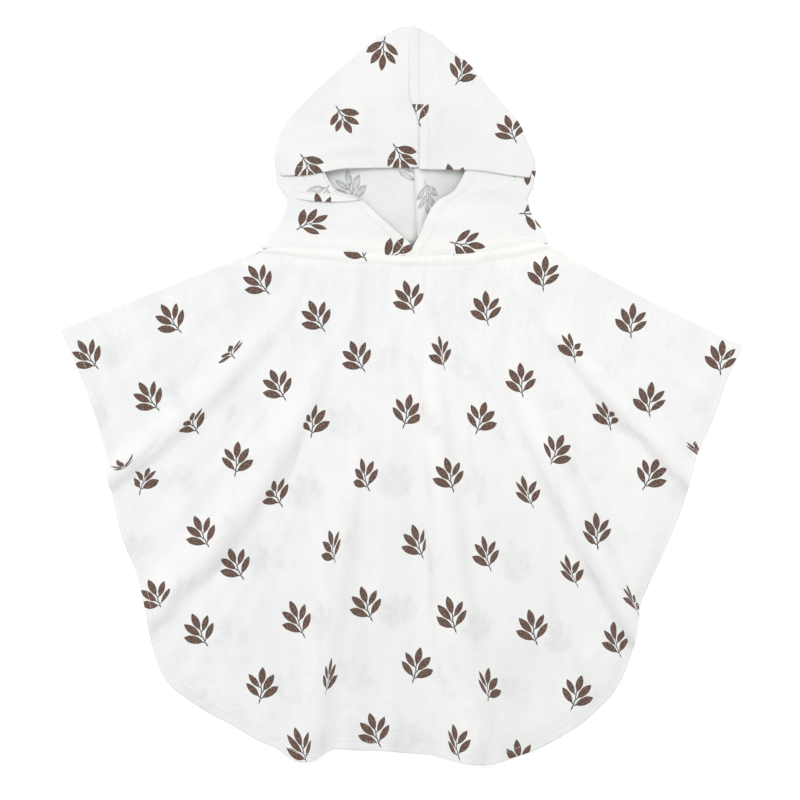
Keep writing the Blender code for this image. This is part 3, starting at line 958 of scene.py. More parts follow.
def make_body(materials):
    """The body: one cloth over both shoulders. Gives the object and what its sewing needs."""
    over = [WELT_AT_SHOULDER] + [1.0] * (len(LINES) - 2) + [WELT_AT_SHOULDER]
    front_shares = np.stack([ring_shares(row, reach) for row, reach in zip(LINES, over)])
    shares = np.stack([ring_shares(row) for row in LINES])
    front, front_prints = front_stations(front_shares)
    for side, station in ((-1, 0), (1, -1)):
        front[:, station] = shoulder_stations(side, shares, (90,))[0]
    right = np.stack(shoulder_stations(1, shares, SHOULDER_ANGLES), axis=1)
    back = back_stations(shares)
    left = np.stack(shoulder_stations(-1, shares, SHOULDER_ANGLES[::-1]), axis=1)
    rings = front.shape[0]
    neck = neck_distance(rings)
    band, hem_rise = turned_hem(hem_distance(rings), *BODY_HEM)
    lay_front(front, shares.mean(axis=0)[:, None])
    finish_front(front, hem_rise, neck)
    creases = crease_heights(back[..., :2].reshape(-1, 2), BACK_CREASES, BACK_CREASE_SPREAD)
    back[..., 2] += creases.reshape(rings, -1)

    grid = np.concatenate([front, right, back, left], axis=1)
    count, front_count = grid.shape[1], front.shape[1]
    faces = [quad(ring, station, count) for ring in range(rings - 1) for station in range(count)]
    # Stations where the right shoulder, the back and the left shoulder take over.
    ends = (front_count - 1, front_count + len(SHOULDER_ANGLES) - 2, count - len(SHOULDER_ANGLES))
    face_prints = np.tile(np.searchsorted(ends, np.arange(count), side="right"), rings - 1)
    plans = grid[..., :2].reshape(-1, 2)
    front_print = np.zeros((rings, count, 2))
    front_print[:, :front_count] = front_prints
    prints = [front_print.reshape(-1, 2)]
    prints += [print_at(stretch, plans) for stretch in ("right_sleeve", "back", "left_sleeve")]
    wall_ends, soft, share = WELT_WALL
    bands = np.repeat(np.maximum(band, share * smooth((wall_ends - neck) / soft)), count)
    obj = cloth_object("body_cloth", grid.reshape(-1, 3), faces, face_prints, prints, bands, materials)
    return obj, grid, front_count


CROWN_END = 48  # fine rows of the crown
CROWN_HEM_ROWS = 8  # of them, in the last of the table's steps, at the hem
CROWN_HEM_SHARE = 0.75  # of that step, that they take
THROAT_ROWS = 34  # fine rows of the throat
BESIDE_MOUTH = (0.25, 0.5, 0.75)  # shares of the way from the crown's hem to the throat
MOUTH = (4.0, 552.0)  # middle of the hood's mouth
LAP_REACH = 36.0  # over which the right half's back laps over the left one's
CORNER_SHARE = 0.25  # most of the front's width that its corner at the side takes
THROAT_POINT = (8.0, 26.0)  # x where the hood's two edges cross at the neck, and reach about it
BACK_LAP = 7.0  # how far the hood's back laps over the body's back below that point
BACK_LAP_RISE = (0.7, 514.0, 9.0)  # of the back there: rise, y where it begins, over how far
SIDE_GAP = 0.9  # between the hood and the body at the sides and at the back
SIDE_COLUMNS = 3  # columns of the front that keep this gap
LIE_COLUMNS = 6  # columns of the front over which its uneven lie grows
NEAR_HEM = 45.0  # height of the crown's cloth that follows its hem down
HOOD_NOISE = 11.0  # place of the hood's uneven lie in the noise
HOOD_CREASE_SPREAD = 0.75  # width of the hood's creases over what their table says
THROAT_SLANT = 0.8  # distance from the slanted edge of the throat, for 1 across
WELT_DIP = (1.0, 8.0, 4.0)  # of the hood below the welt: depth, where it begins, over how far
INSIDE_REACH = (52.0, 42.0)  # across and along, over which the back stands up in the mouth
INSIDE_FALL = (24.0, 26.0, 0.45)  # of that rise to the right: x, over how far, and by what share
SEAM_STANDS = {-1: (0.5, 9.0), 1: (1.3, 6.5)}  # of the back seam's allowance: rise and reach
SEAM_STANDS_SOFT = 5.0  # over which it comes down
CROWN_BAND = (0.8, 2.2, 10.8, 3.2)  # band of the crown's seam: rise, soft start, end, soft end
CROWN_STITCHES = 8.6  # from the crown's seam to its stitches

# Stretches of the print on each half of the hood, by the number that a face is given.
BACK, CROWN, CROWN_TOP, THROAT, THROAT_SIDE, EDGE = range(6)
HOOD_PRINTS = {
    -1: ("left_back", "left_crown", "left_crown", "left_throat"),
    1: ("right_back", "right_crown", "right_crown_top", "right_throat", "right_throat_side", "right_edge"),
}
CROWN_TOP_Y = 629.5  # lowest row of the top of the crown
THROAT_SIDE_FROM = (106.0, 505.0)  # x and y where the print of the throat's side begins
EDGE_FROM = (102.0, 549.0)  # x and y where the print of the edge of the mouth begins


def hood_rows(table):
    """Rows of one half of the hood, finely: crown, the strip beside the mouth, throat."""
    last = CROWN_ROWS - 1
    at = np.linspace(0, last - 1, CROWN_END - CROWN_HEM_ROWS)
    at = np.concatenate([at, np.linspace(last - CROWN_HEM_SHARE, last, CROWN_HEM_ROWS)])
    crown = curve_through(table[:CROWN_ROWS], at)
    throat = curve_through(table[CROWN_ROWS:], np.linspace(0, len(table) - CROWN_ROWS - 1, THROAT_ROWS))
    beside = [crown[-1] + (throat[0] - crown[-1]) * share for share in BESIDE_MOUTH]
    return crown, np.array(beside), throat


def near_throat(x):
    """1 where the hood's two edges cross at the neck, and 0 away from there."""
    return np.exp(-(((x - THROAT_POINT[0]) / THROAT_POINT[1]) ** 4))


def hood_row(row, side, crown, at_neck):
    """One row of a half of the hood, from the back seam round the side to the front."""
    side_x, side_y, front_x, front_y, back_y, radius, front_z = row
    front_x -= side * SEWN_GAP if crown else 0.0
    back_x = table_value(HOOD_BACK_SEAM, back_y) + side * (SEAM_GAP / 2 - SEWN_GAP)
    back_x -= SEAM_LAP * max(side, 0) * math.exp(-(((back_y - MOUTH[1]) / LAP_REACH) ** 4))
    inner = side_x - side * radius
    share = np.linspace(0, 1, HOOD_BACK_STEPS + 1)
    level = np.full(len(share), BACK_LEVEL)
    back = np.column_stack([back_x + (inner - back_x) * share, back_y + (side_y - back_y) * share, level])
    turn = np.radians(np.linspace(-90, 90, HOOD_SIDE_STEPS + 1)[1:])
    out, up = inner + side * radius * np.cos(turn), BACK_LEVEL + radius * (1 + np.sin(turn))
    round_side = np.column_stack([out, np.full(len(turn), side_y), up])
    width = abs(front_x - inner)
    corner = min(HOOD_CORNER, CORNER_SHARE * width) / width
    steps = ((0, corner, HOOD_CORNER_STEPS), (corner, 1, HOOD_FRONT_STEPS))
    share = np.concatenate([np.linspace(start, end, count + 1)[1:] for start, end, count in steps])
    climb = np.sin(math.pi / 2 * share) if crown else smooth(share)
    top = BACK_LEVEL + 2 * radius
    start, run = np.array([inner, side_y]), np.array([front_x - inner, front_y - side_y])
    front = np.column_stack([start + run * share[:, None], top + (front_z - top) * climb])
    points = np.concatenate([back, round_side, front])
    if at_neck:
        for index, point in enumerate(points):
            in_back = index <= HOOD_BACK_STEPS
            gap = SEAM_GAP if index > HOOD_BACK_STEPS + HOOD_SIDE_STEPS + SIDE_COLUMNS else SIDE_GAP
            gap -= BACK_LAP * in_back * near_throat(point[0])
            point[1] = neck_place(point[0], back=in_back)[1] + gap
    return points


def inside_rise(grid, in_back, side):
    """How far the back of the hood stands up, inside the mouth, at its seam and over the body."""
    across_mouth, along_mouth = ((grid[..., k] - MOUTH[k]) / INSIDE_REACH[k] for k in (0, 1))
    in_mouth = np.exp(-(across_mouth**4) - along_mouth**4)
    x, over, share = INSIDE_FALL
    fallen = 1 - share * smooth((grid[..., 0] - x) / over)
    allowance, reach = SEAM_STANDS[side]
    from_seam = np.abs(grid[..., 0] - grid[:, :1, 0])
    rise = (INSIDE_RISE * fallen + allowance * smooth((reach - from_seam) / SEAM_STANDS_SOFT)) * in_mouth
    lap, y, over = BACK_LAP_RISE
    rise += lap * near_throat(grid[..., 0]) * smooth((y - grid[..., 1]) / over)
    return np.where(in_back, rise, 0.0)


def hood_print(side, in_back, row_top, before_throat, past_crown, x, y):
    """Number of the stretch of the print on one face of a half of the hood."""
    if in_back:
        return BACK
    if row_top > CROWN_TOP_Y:
        return CROWN_TOP
    if side > 0 and past_crown and x > EDGE_FROM[0] and y > EDGE_FROM[1]:
        return EDGE
    if before_throat:
        return CROWN
    if side > 0 and x > THROAT_SIDE_FROM[0] and y > THROAT_SIDE_FROM[1]:
        return THROAT_SIDE
    return THROAT


def make_hood(name, table, side, materials):
    """One half of the hood: the object, its points, and their distances from what is stitched."""
    crown, beside, throat = hood_rows(table)
    rows = [hood_row(row, side, True, False) for row in crown]
    rows += [hood_row(row, side, False, False) for row in beside]
    rows += [hood_row(row, side, False, i == len(throat) - 1) for i, row in enumerate(throat)]
    grid = np.stack(rows)
    height, count = grid.shape[:2]
    first_front = HOOD_BACK_STEPS + HOOD_SIDE_STEPS + 1
    corner = first_front - 1 + HOOD_CORNER_STEPS
    low = len(crown) - 1
    top = low + 1 + len(beside)
    row, column = np.arange(height)[:, None], np.arange(count)[None, :]

    # The hem of the crown runs lower at the side of the hood.
    on_crown = grid[: low + 1]
    near_hem = 1 - smooth((on_crown[..., 1] - grid[low, None, :, 1]) / NEAR_HEM)
    _, begins, over, fall = next(dip for dip in HEM_DIPS if dip[0] == side)
    at_side = smooth((side * on_crown[..., 0] - begins) / over)
    on_crown[:, first_front:, 1] -= (fall * at_side * near_hem)[:, first_front:]

    plans = grid[..., :2].reshape(-1, 2)
    prints = [print_at(stretch, plans) for stretch in HOOD_PRINTS[side]]
    lie = crinkle_heights(prints[CROWN], HOOD_NOISE + side).reshape(height, count)
    in_front = smooth((column - first_front) / LIE_COLUMNS)
    grid[..., 2] += cloth_settings().crinkle / MM * lie * in_front
    creases = crease_heights(plans, HOOD_CREASES, HOOD_CREASE_SPREAD).reshape(height, count)
    grid[..., 2] += creases * in_front
    # The hem sinks to the cloth below it.
    sink = grid[low, :, 2] - table_value(HEM_LEVELS, grid[low, :, 0])
    on_crown[:, first_front:, 2] -= (np.maximum(sink, 0) * near_hem)[:, first_front:]

    # Distance of each point from the edge round the face, for the turned hem.
    edge_distance = np.full((height, count), FAR)
    edge_distance[: low + 1, corner:] = np.abs(on_crown[:, corner:, 1] - grid[low, None, corner:, 1])
    from_edge = np.abs(grid[top:, :, 0] - grid[top:, -1:, 0]) * THROAT_SLANT
    edge_distance[top:, first_front:] = from_edge[:, first_front:]
    band, rise = turned_hem(edge_distance, *HOOD_HEM)
    depth, begins, over = WELT_DIP
    above_neck = grid[..., 1] - table_value(NECK, grid[..., 0])
    rise -= depth * smooth((begins - above_neck) / over) * in_front
    rise += inside_rise(grid, column <= HOOD_BACK_STEPS, side)
    in_crown = (row <= low) & (column >= first_front)
    if side > 0:
        # The crown's seam is turned to the right and stitched down as a raised band.
        seam_rise, starts, ends, soft_end = CROWN_BAND
        from_seam = grid[..., 0] - grid[:, -1:, 0]
        raised = np.where(in_crown, smooth(from_seam / starts) * smooth((ends - from_seam) / soft_end), 0.0)
        rise += seam_rise * raised
        band = np.maximum(band, raised)
    grid[..., 2] += rise

    faces, face_prints = [], []
    for r in range(height - 1):
        for s in range(corner if low <= r < top else count - 1):
            face = quad(r, s, count)
            faces.append(face if side < 0 else face[::-1])
            place = hood_print(side, s < HOOD_BACK_STEPS, grid[r, -1, 1], r < top, r >= low, *grid[r, s, :2])
            face_prints.append(place)
    used, numbers = np.unique(faces, return_inverse=True)
    faces = numbers.reshape(-1, 4).tolist()
    points, prints = grid.reshape(-1, 3)[used], [p[used] for p in prints]
    obj = cloth_object(name, points, faces, face_prints, prints, band.ravel()[used], materials)
    crown_hem = np.where((row <= low) & (column >= corner), edge_distance, FAR)
    throat_hem = np.where(row >= top, edge_distance, FAR)
    seam_band = np.where(in_crown, np.abs(grid[..., 0] - grid[:, -1:, 0]), FAR)
    return obj, grid, (crown_hem, throat_hem, seam_band)


# The lapel: the upper part of the left edge of the face, turned out and down. Its left end,
# the edge that is turned along the face, and its hemmed free edge: x, y.
LAPEL_LEFT = ((-104.0, 571.0), (-105.5, 560.0), (-106.3, 551.0), (-106.4, 541.0))
LAPEL_TURN = ((-77.0, 571.0), (-70.5, 555.0), (-57.0, 543.6), (-37.5, 538.2))
LAPEL_ROWS = 30
LAPEL_COLUMNS = 48
LAPEL_HEM_ROWS = 9
LAPEL_SAG = 3.4
LAPEL_LIFT = 1.0  # of the lapel over the throat
LAPEL_DEPTH = 0.5  # below the throat's cloth, of its left end
LAPEL_SUNK = 0.28  # share of its width over which its left end comes free
LAPEL_ROLL = (0.5, 2.2, 0.25)  # rise at its turned edge, reach, and share of its length to grow
LAPEL_HEM_LESS = 1.2  # how much narrower its hem is
LAPEL_HEM_IN = (0.15, 0.4)  # from its free edge, and from its turned edge, to its hem
LAPEL_HEM_LIFT = 0.8  # of the hem over the lapel
LAPEL_HEM_BAND = -0.8  # share of the doubled wall on the hem, which is thinner than the lapel


def height_over(places, points):
    """Height of the nearest of some points of a surface, softened over a few."""
    gaps = ((places[:, None, :] - points[None, :, :2]) ** 2).sum(2)
    weights = 1 / (gaps + 1.0) ** 3
    return (weights * points[:, 2]).sum(1) / weights.sum(1)


def make_lapel(name, throat, materials):
    """The turned-out lapel, wrong side up, and its turned hem, right side up."""
    down, over = np.linspace(0, 1, LAPEL_ROWS), np.linspace(0, 1, LAPEL_COLUMNS)
    left = curve_through(LAPEL_LEFT, down * (len(LAPEL_LEFT) - 1))
    turn = curve_through(LAPEL_TURN, down * (len(LAPEL_TURN) - 1))
    plan = left[:, None] + (turn - left)[:, None] * over[None, :, None]
    plan[..., 1] -= LAPEL_SAG * (down**2)[:, None] * np.sin(math.pi * over) ** 0.8
    # Its left end sinks into the fold at the side of the hood, where it is sewn in.
    free = smooth(over / LAPEL_SUNK)
    height = height_over(plan.reshape(-1, 2), throat).reshape(LAPEL_ROWS, LAPEL_COLUMNS)
    height = height + LAPEL_LIFT * free - LAPEL_DEPTH * (1 - free)
    rise, reach, grown = LAPEL_ROLL
    from_turn = np.linalg.norm(plan - plan[:, -1:], axis=2)
    height += rise * np.exp(-((from_turn / reach) ** 2)) * smooth(down / grown)[:, None]
    leaf = np.dstack([plan, height])
    # The hem lies on the free edge, so its rows follow that edge at even distances.
    rows = []
    from_free, from_turn = LAPEL_HEM_IN
    width = cloth_settings().hem_width / MM - LAPEL_HEM_LESS
    for gap in np.linspace(0, width, LAPEL_HEM_ROWS):
        inward = leaf[-1] + (0.0, gap + from_free, 0.0)
        turn_x = np.interp(inward[:, 1], turn[::-1, 1], turn[::-1, 0])
        inward[:, 0] = np.minimum(inward[:, 0], turn_x - from_turn)
        inward[:, 2] = height_over(inward[:, :2], leaf.reshape(-1, 3)) + LAPEL_HEM_LIFT * free
        rows.append(inward)
    points = np.concatenate([leaf.reshape(-1, 3), *rows])
    faces, face_prints = [], []
    start = LAPEL_ROWS * LAPEL_COLUMNS
    for number, first, count in ((0, 0, LAPEL_ROWS), (1, start, LAPEL_HEM_ROWS)):
        for row in range(count - 1):
            for column in range(LAPEL_COLUMNS - 1):
                here, below, below_after, after = quad(row, column, LAPEL_COLUMNS, first)
                faces.append((here, after, below_after, below))
                face_prints.append(number)
    prints = [print_at(stretch, points[:, :2]) for stretch in ("left_lapel", "left_lapel_hem")]
    bands = np.where(np.arange(len(points)) < start, 0.0, LAPEL_HEM_BAND)
    obj = cloth_object(name, points, faces, face_prints, prints, bands, materials)
    return obj, rows[-2]


RUN_REACH = 60.0  # distance from an edge within which a run of stitches is looked for


def run_at(grid, normals, distance, wanted):
    """Points and normals on a grid's columns where the distance from an edge is as wanted."""
    found = []
    for column in range(grid.shape[1]):
        rows = np.nonzero(distance[:, column] < RUN_REACH)[0]
        gaps = distance[rows, column]
        if len(rows) < 2 or not gaps.min() <= wanted <= gaps.max():
            continue
        order = np.argsort(gaps)
        both = np.concatenate([grid[rows, column], normals[rows, column]], axis=1)[order]
        found.append([np.interp(wanted, gaps[order], values) for values in both.T])
    found = np.array(found)
    return found[:, :3], found[:, 3:]


def add_node(tree, kind, inputs=(), output=0, **settings):
    """Adds a node, sets it, and fills its inputs with values or links. Gives one of its outputs."""
    node = tree.nodes.new(kind)
    for name, value in settings.items():
        setattr(node, name, value)
    pairs = inputs.items() if isinstance(inputs, dict) else enumerate(inputs)
    for key, value in pairs:
        if isinstance(value, bpy.types.NodeSocket):
            tree.links.new(value, node.inputs[key])
        elif value is not None:
            node.inputs[key].default_value = value
    return node.outputs[output] if len(node.outputs) else None


MATH, VECTOR_MATH = "ShaderNodeMath", "ShaderNodeVectorMath"
MAP_RANGE, MIX = "ShaderNodeMapRange", "ShaderNodeMix"
TIMES, MULTIPLY_ADD = {"operation": "MULTIPLY"}, {"operation": "MULTIPLY_ADD"}
LESS, OVER = {"operation": "SUBTRACT"}, {"operation": "DIVIDE"}
MODULO, ROUND = {"operation": "FLOORED_MODULO"}, {"operation": "ROUND"}
HIGHEST, DISTANCE = {"operation": "MAXIMUM"}, {"operation": "DISTANCE"}
# A map range takes a value, the two ends between which it counts, and what it gives at each.
SOFT = {"interpolation_type": "SMOOTHSTEP"}
COLOURS = {"output": 2, "data_type": "RGBA"}
OUTSIDE = -100.0  # depth of a place that is in no leaf and no stem
SOFT_JOIN = 1.2  # over which a blunt leaf's round part flows into its pointed one


def lens_depth(tree, place, start, end, width):
    """Depth inside a leaf, pointed at both ends, where two discs overlap; below 0 outside."""
    start, end = np.array(start), np.array(end)
    length = np.linalg.norm(end - start)
    radius = (length**2 + width**2) / (4 * width)
    side = np.array([start[1] - end[1], end[0] - start[0]]) / length * (radius - width / 2)
    depths = []
    for centre in ((start + end) / 2 + side, (start + end) / 2 - side):
        depths.append(add_node(tree, VECTOR_MATH, (place, (*centre, 0.0)), "Value", **DISTANCE))
    far = add_node(tree, MATH, depths, **HIGHEST)
    return add_node(tree, MATH, (radius, far), **LESS)


def sprig_repeat():
    """The repeat of the print: from a place on the cloth in millimetres, the depth in a leaf and a stem."""
    settings = bpy.context.scene.poncho_print
    tree = bpy.data.node_groups.new("sprig_repeat", "ShaderNodeTree")
    for name, way, kind in (
        ("Place", "INPUT", "NodeSocketVector"),
        ("Drawn in", "INPUT", "NodeSocketFloat"),
        ("Leaf", "OUTPUT", "NodeSocketFloat"),
        ("Stem", "OUTPUT", "NodeSocketFloat"),
    ):
        tree.interface.new_socket(name, in_out=way, socket_type=kind)
    place, drawn_in = tree.nodes.new("NodeGroupInput").outputs[:2]
    apart = add_node(tree, "ShaderNodeSeparateXYZ", (place,)).node.outputs

    # Rows of sprigs; each second row is moved by half the pitch, each fourth is mirrored.
    pitch, row_pitch = settings.pitch / MM, settings.row_pitch / MM
    row = add_node(tree, MATH, (apart["Y"], row_pitch), **OVER)
    row = add_node(tree, MATH, (row,), **ROUND)
    middle = add_node(tree, MATH, (row, row_pitch), **TIMES)
    y = add_node(tree, MATH, (apart["Y"], middle), **LESS)
    odd = add_node(tree, MATH, (row, 2.0), **MODULO)
    offset = add_node(tree, MATH, (odd, 0.5 * pitch), **TIMES)
    x = add_node(tree, MATH, (apart["X"], offset), **LESS)
    column = add_node(tree, MATH, (x, pitch), **OVER)
    column = add_node(tree, MATH, (column,), **ROUND)
    middle = add_node(tree, MATH, (column, pitch), **TIMES)
    x = add_node(tree, MATH, (x, middle), **LESS)
    fourth = add_node(tree, MATH, (row, 4.0), **MODULO)
    mirrored = add_node(tree, MATH, (fourth, 0.0, 0.5), operation="COMPARE")
    side = add_node(tree, MATH, (mirrored, -2.0, 1.0), **MULTIPLY_ADD)
    x = add_node(tree, MATH, (x, side), **TIMES)
    local = add_node(tree, "ShaderNodeCombineXYZ", (x, y))
    local = add_node(tree, VECTOR_MATH, {0: local, "Scale": drawn_in}, operation="SCALE")

    leaf = stem = OUTSIDE
    for _, x1, y1, x2, y2, width, blunt_at, blunt_radius in LEAVES:
        depth = lens_depth(tree, local, (x1, y1), (x2, y2), width)
        if blunt_radius:
            centre = (x1 + (x2 - x1) * blunt_at, y1 + (y2 - y1) * blunt_at, 0.0)
            far = add_node(tree, VECTOR_MATH, (local, centre), "Value", **DISTANCE)
            disc = add_node(tree, MATH, (blunt_radius, far), **LESS)
            depth = add_node(tree, MATH, (depth, disc, SOFT_JOIN), operation="SMOOTH_MAX")
        leaf = add_node(tree, MATH, (leaf, depth), **HIGHEST)
    for x1, y1, x2, y2, width in STEMS:
        depth = lens_depth(tree, local, (x1, y1), (x2, y2), width)
        stem = add_node(tree, MATH, (stem, depth), **HIGHEST)
    add_node(tree, "NodeGroupOutput", (leaf, stem))
    return tree


# Inks, and the painted light and shade that the lie and place of the cloth give its white: shares of red,
# green and blue.
RIM_INK = linear("#3A2C25")
WORN_INK = linear("#8A6F60")
WRONG_SIDE_INK = linear("#5E5E60")
SHADOW_INK = linear("#4A4A4C")
SHADE_AND_MOTTLE_GREY = (0.785, 0.806, 0.797, 1.0)  # painted shade in the crinkles and hollows, and the cloth's random mottle
VALLEY_SHADE_TINT = (0.954, 0.968, 0.960, 1.0)
RIDGE_LIGHT_TINT = (1.014, 1.011, 0.998, 1.0)
WELT_HIGHLIGHT_TINT = (1.024, 1.020, 0.998, 1.0)
LEFT_SHADE_TINT = (0.998, 0.999, 1.006, 1.0)
RIGHT_LIGHT_TINT = (1.026, 1.024, 1.024, 1.0)
CROWN_SHADE_TINT = (0.955, 0.959, 0.962, 1.0)
INSIDE_SHADE_TINT = (0.915, 0.930, 0.925, 1.0)
INSIDE_RIGHT_SHADE_TINT = (0.870, 0.872, 0.862, 1.0)
INSIDE_SEAM_LIGHT_TINT = (0.985, 0.990, 0.978, 1.0)
BACK_SEAM_X = 0.0165  # of the hood, in metres from the middle
BELOW_MOVED = (-29.0, 7.0, 0.0)  # of the layer below, whose print shows through
BELOW_DRAWN_IN = 0.94
PRINT_EDGE = {True: 0.22, False: 0.6}  # softness of the print on the right and the wrong side

# Crinkles of the cloth: name, size across the warp and along it in millimetres, detail, noise where it
# begins and ends to grey the cloth, and by how much. That greying is painted shade in the crinkles, and in
# the clouds the cloth's random mottle; the bands grey nothing, but streak the painted ridge light. They are
# drawn a little coarser than the real 1 to 2 mm, so that they show. The gathers show near the neck alone,
# and the ripples near the hem.
CRINKLES = (
    ("gathers", 3.0, 22.0, 3.0, 0.40, 0.70, 0.15),
    ("ripples", 20.0, 3.0, 3.0, 0.40, 0.72, 0.13),
    ("puckers", 6.0, 5.0, 4.0, 0.40, 0.75, 0.07),
    ("clouds", 34.0, 52.0, 2.0, 0.42, 0.70, 0.15),
    ("bands", 30.0, 220.0, 1.0, 0.36, 0.64, 0.0),
    ("fleck", 1.7, 2.2, 2.0, 0.36, 0.66, 0.0),
)

# Soft steps in the look across the laid garment, most of them masks of painted light and shade: name, axis,
# the two places in metres between which it changes, its values there, and the side of the cloth that has it.
CHANGES = (
    ("near_neck", "Y", -0.06, 0.12, 0.25, 1.0, "both"),
    ("on_hood", "Y", 0.13, 0.16, 1.0, 0.35, "right"),
    ("on_hood", "Y", 0.13, 0.16, 1.0, 0.75, "wrong"),
    ("at_hem", "Y", -0.16, -0.30, 0.0, 1.0, "both"),
    ("low_down", "Y", 0.0, -0.20, 0.0, 1.0, "both"),
    ("right_half", "X", 0.02, 0.14, 0.0, 0.14, "both"),
    ("raised", "Z", 0.0030, 0.0115, 0.0, 0.75, "both"),
    ("above_seam", "Y", 0.121, 0.129, 0.0, 1.0, "both"),
    ("below_crown", "Y", 0.146, 0.166, 1.0, 0.0, "both"),
    ("to_right", "X", -0.25, 0.25, 0.0, 1.0, "both"),
    ("to_crown", "Y", 0.155, 0.225, 0.0, 1.0, "both"),
    ("drawn_in", "Y", -0.20, -0.07, 1.0, 1.025, "both"),
    ("deep", "Z", 0.0082, 0.0092, 1.0, 0.0, "wrong"),
    ("past_lapel", "X", -0.083, -0.073, 0.0, 1.0, "wrong"),
    ("in_corner", "X", 0.016, 0.026, 0.0, 1.0, "wrong"),
)


def muslin_white(tree, lie, at, noises, greying, right_side):
    """The cloth's white, greyed by painted shade in its crinkles and hollows, and tinted with painted light
    and shade by how and where it lies.
    """
    # Low down between the two middle folds the front lies close on the back, and is painted greyer there as
    # shade; low down it also greys a little towards the right.
    from_middle = add_node(tree, MATH, (lie["X"],), operation="ABSOLUTE")
    from_middle = add_node(tree, MAP_RANGE, (from_middle, 0.08, 0.22, 0.16, 0.03), **SOFT)
    for share in (from_middle, at["right_half"]):
        greying = add_node(tree, MATH, (share, at["low_down"], greying), **MULTIPLY_ADD)
    white = bpy.context.scene.poncho_print.white
    greyed = [share * part for share, part in zip(SHADE_AND_MOTTLE_GREY, white)]
    cloth = add_node(tree, MIX, {0: greying, 6: white, 7: greyed}, **COLOURS)

    # Painted light and shade by height: where the cloth lies low, on the layer below, it is painted cooler
    # and greyer as shade, and raised it is painted creamy as the light on its ridges, in streaks where the
    # broad bands of noise lie.
    loose = add_node(tree, MAP_RANGE, (noises["bands"], 0.36, 0.64, 0.0, 0.55), **SOFT)
    raised = add_node(tree, MATH, (at["raised"], loose), operation="ADD")
    # The welt over the neck seam and the lowest part of the hood are painted lighter: a painted highlight on
    # the raised welt.
    in_welt = add_node(tree, MATH, (at["above_seam"], at["below_crown"]), **TIMES)
    heights = [(raised, RIDGE_LIGHT_TINT), (in_welt, WELT_HIGHLIGHT_TINT)]
    # Painted light and shade by place: the right side is painted lighter, and the crown a little darker,
    # which takes back the painted ridge light that its height gives it and shades it further.
    sides = [(at["to_right"], RIGHT_LIGHT_TINT), (at["to_crown"], CROWN_SHADE_TINT)]
    if not right_side:
        # Inside the hood the wrong side lies deep, in the shade of the layer below, and that shade is
        # painted into it as a darker tint, darker still in its right corner. Along the back seam the
        # allowance is painted lighter: partly a painted highlight on the raised allowance, partly the four
        # layers there that let nothing show through.
        inside = add_node(tree, MATH, (at["deep"], at["past_lapel"]), **TIMES)
        in_corner = add_node(tree, MATH, (at["in_corner"], inside), **TIMES)
        from_seam = add_node(tree, MATH, (lie["X"], BACK_SEAM_X), **LESS)
        from_seam = add_node(tree, MATH, (from_seam,), operation="ABSOLUTE")
        on_seam = add_node(tree, MAP_RANGE, (from_seam, 0.0024, 0.0038, 1.0, 0.0), **SOFT)
        on_seam = add_node(tree, MATH, (on_seam, inside), **TIMES)
        sides += [(inside, INSIDE_SHADE_TINT), (in_corner, INSIDE_RIGHT_SHADE_TINT), (on_seam, INSIDE_SEAM_LIGHT_TINT)]
    for tint, steps in ((VALLEY_SHADE_TINT, heights), (LEFT_SHADE_TINT, sides)):
        for share, other in steps:
            tint = add_node(tree, MIX, {0: share, 6: tint, 7: other}, **COLOURS)
        cloth = add_node(tree, MIX, {0: 1.0, 6: cloth, 7: tint}, blend_type="MULTIPLY", **COLOURS)
    return cloth


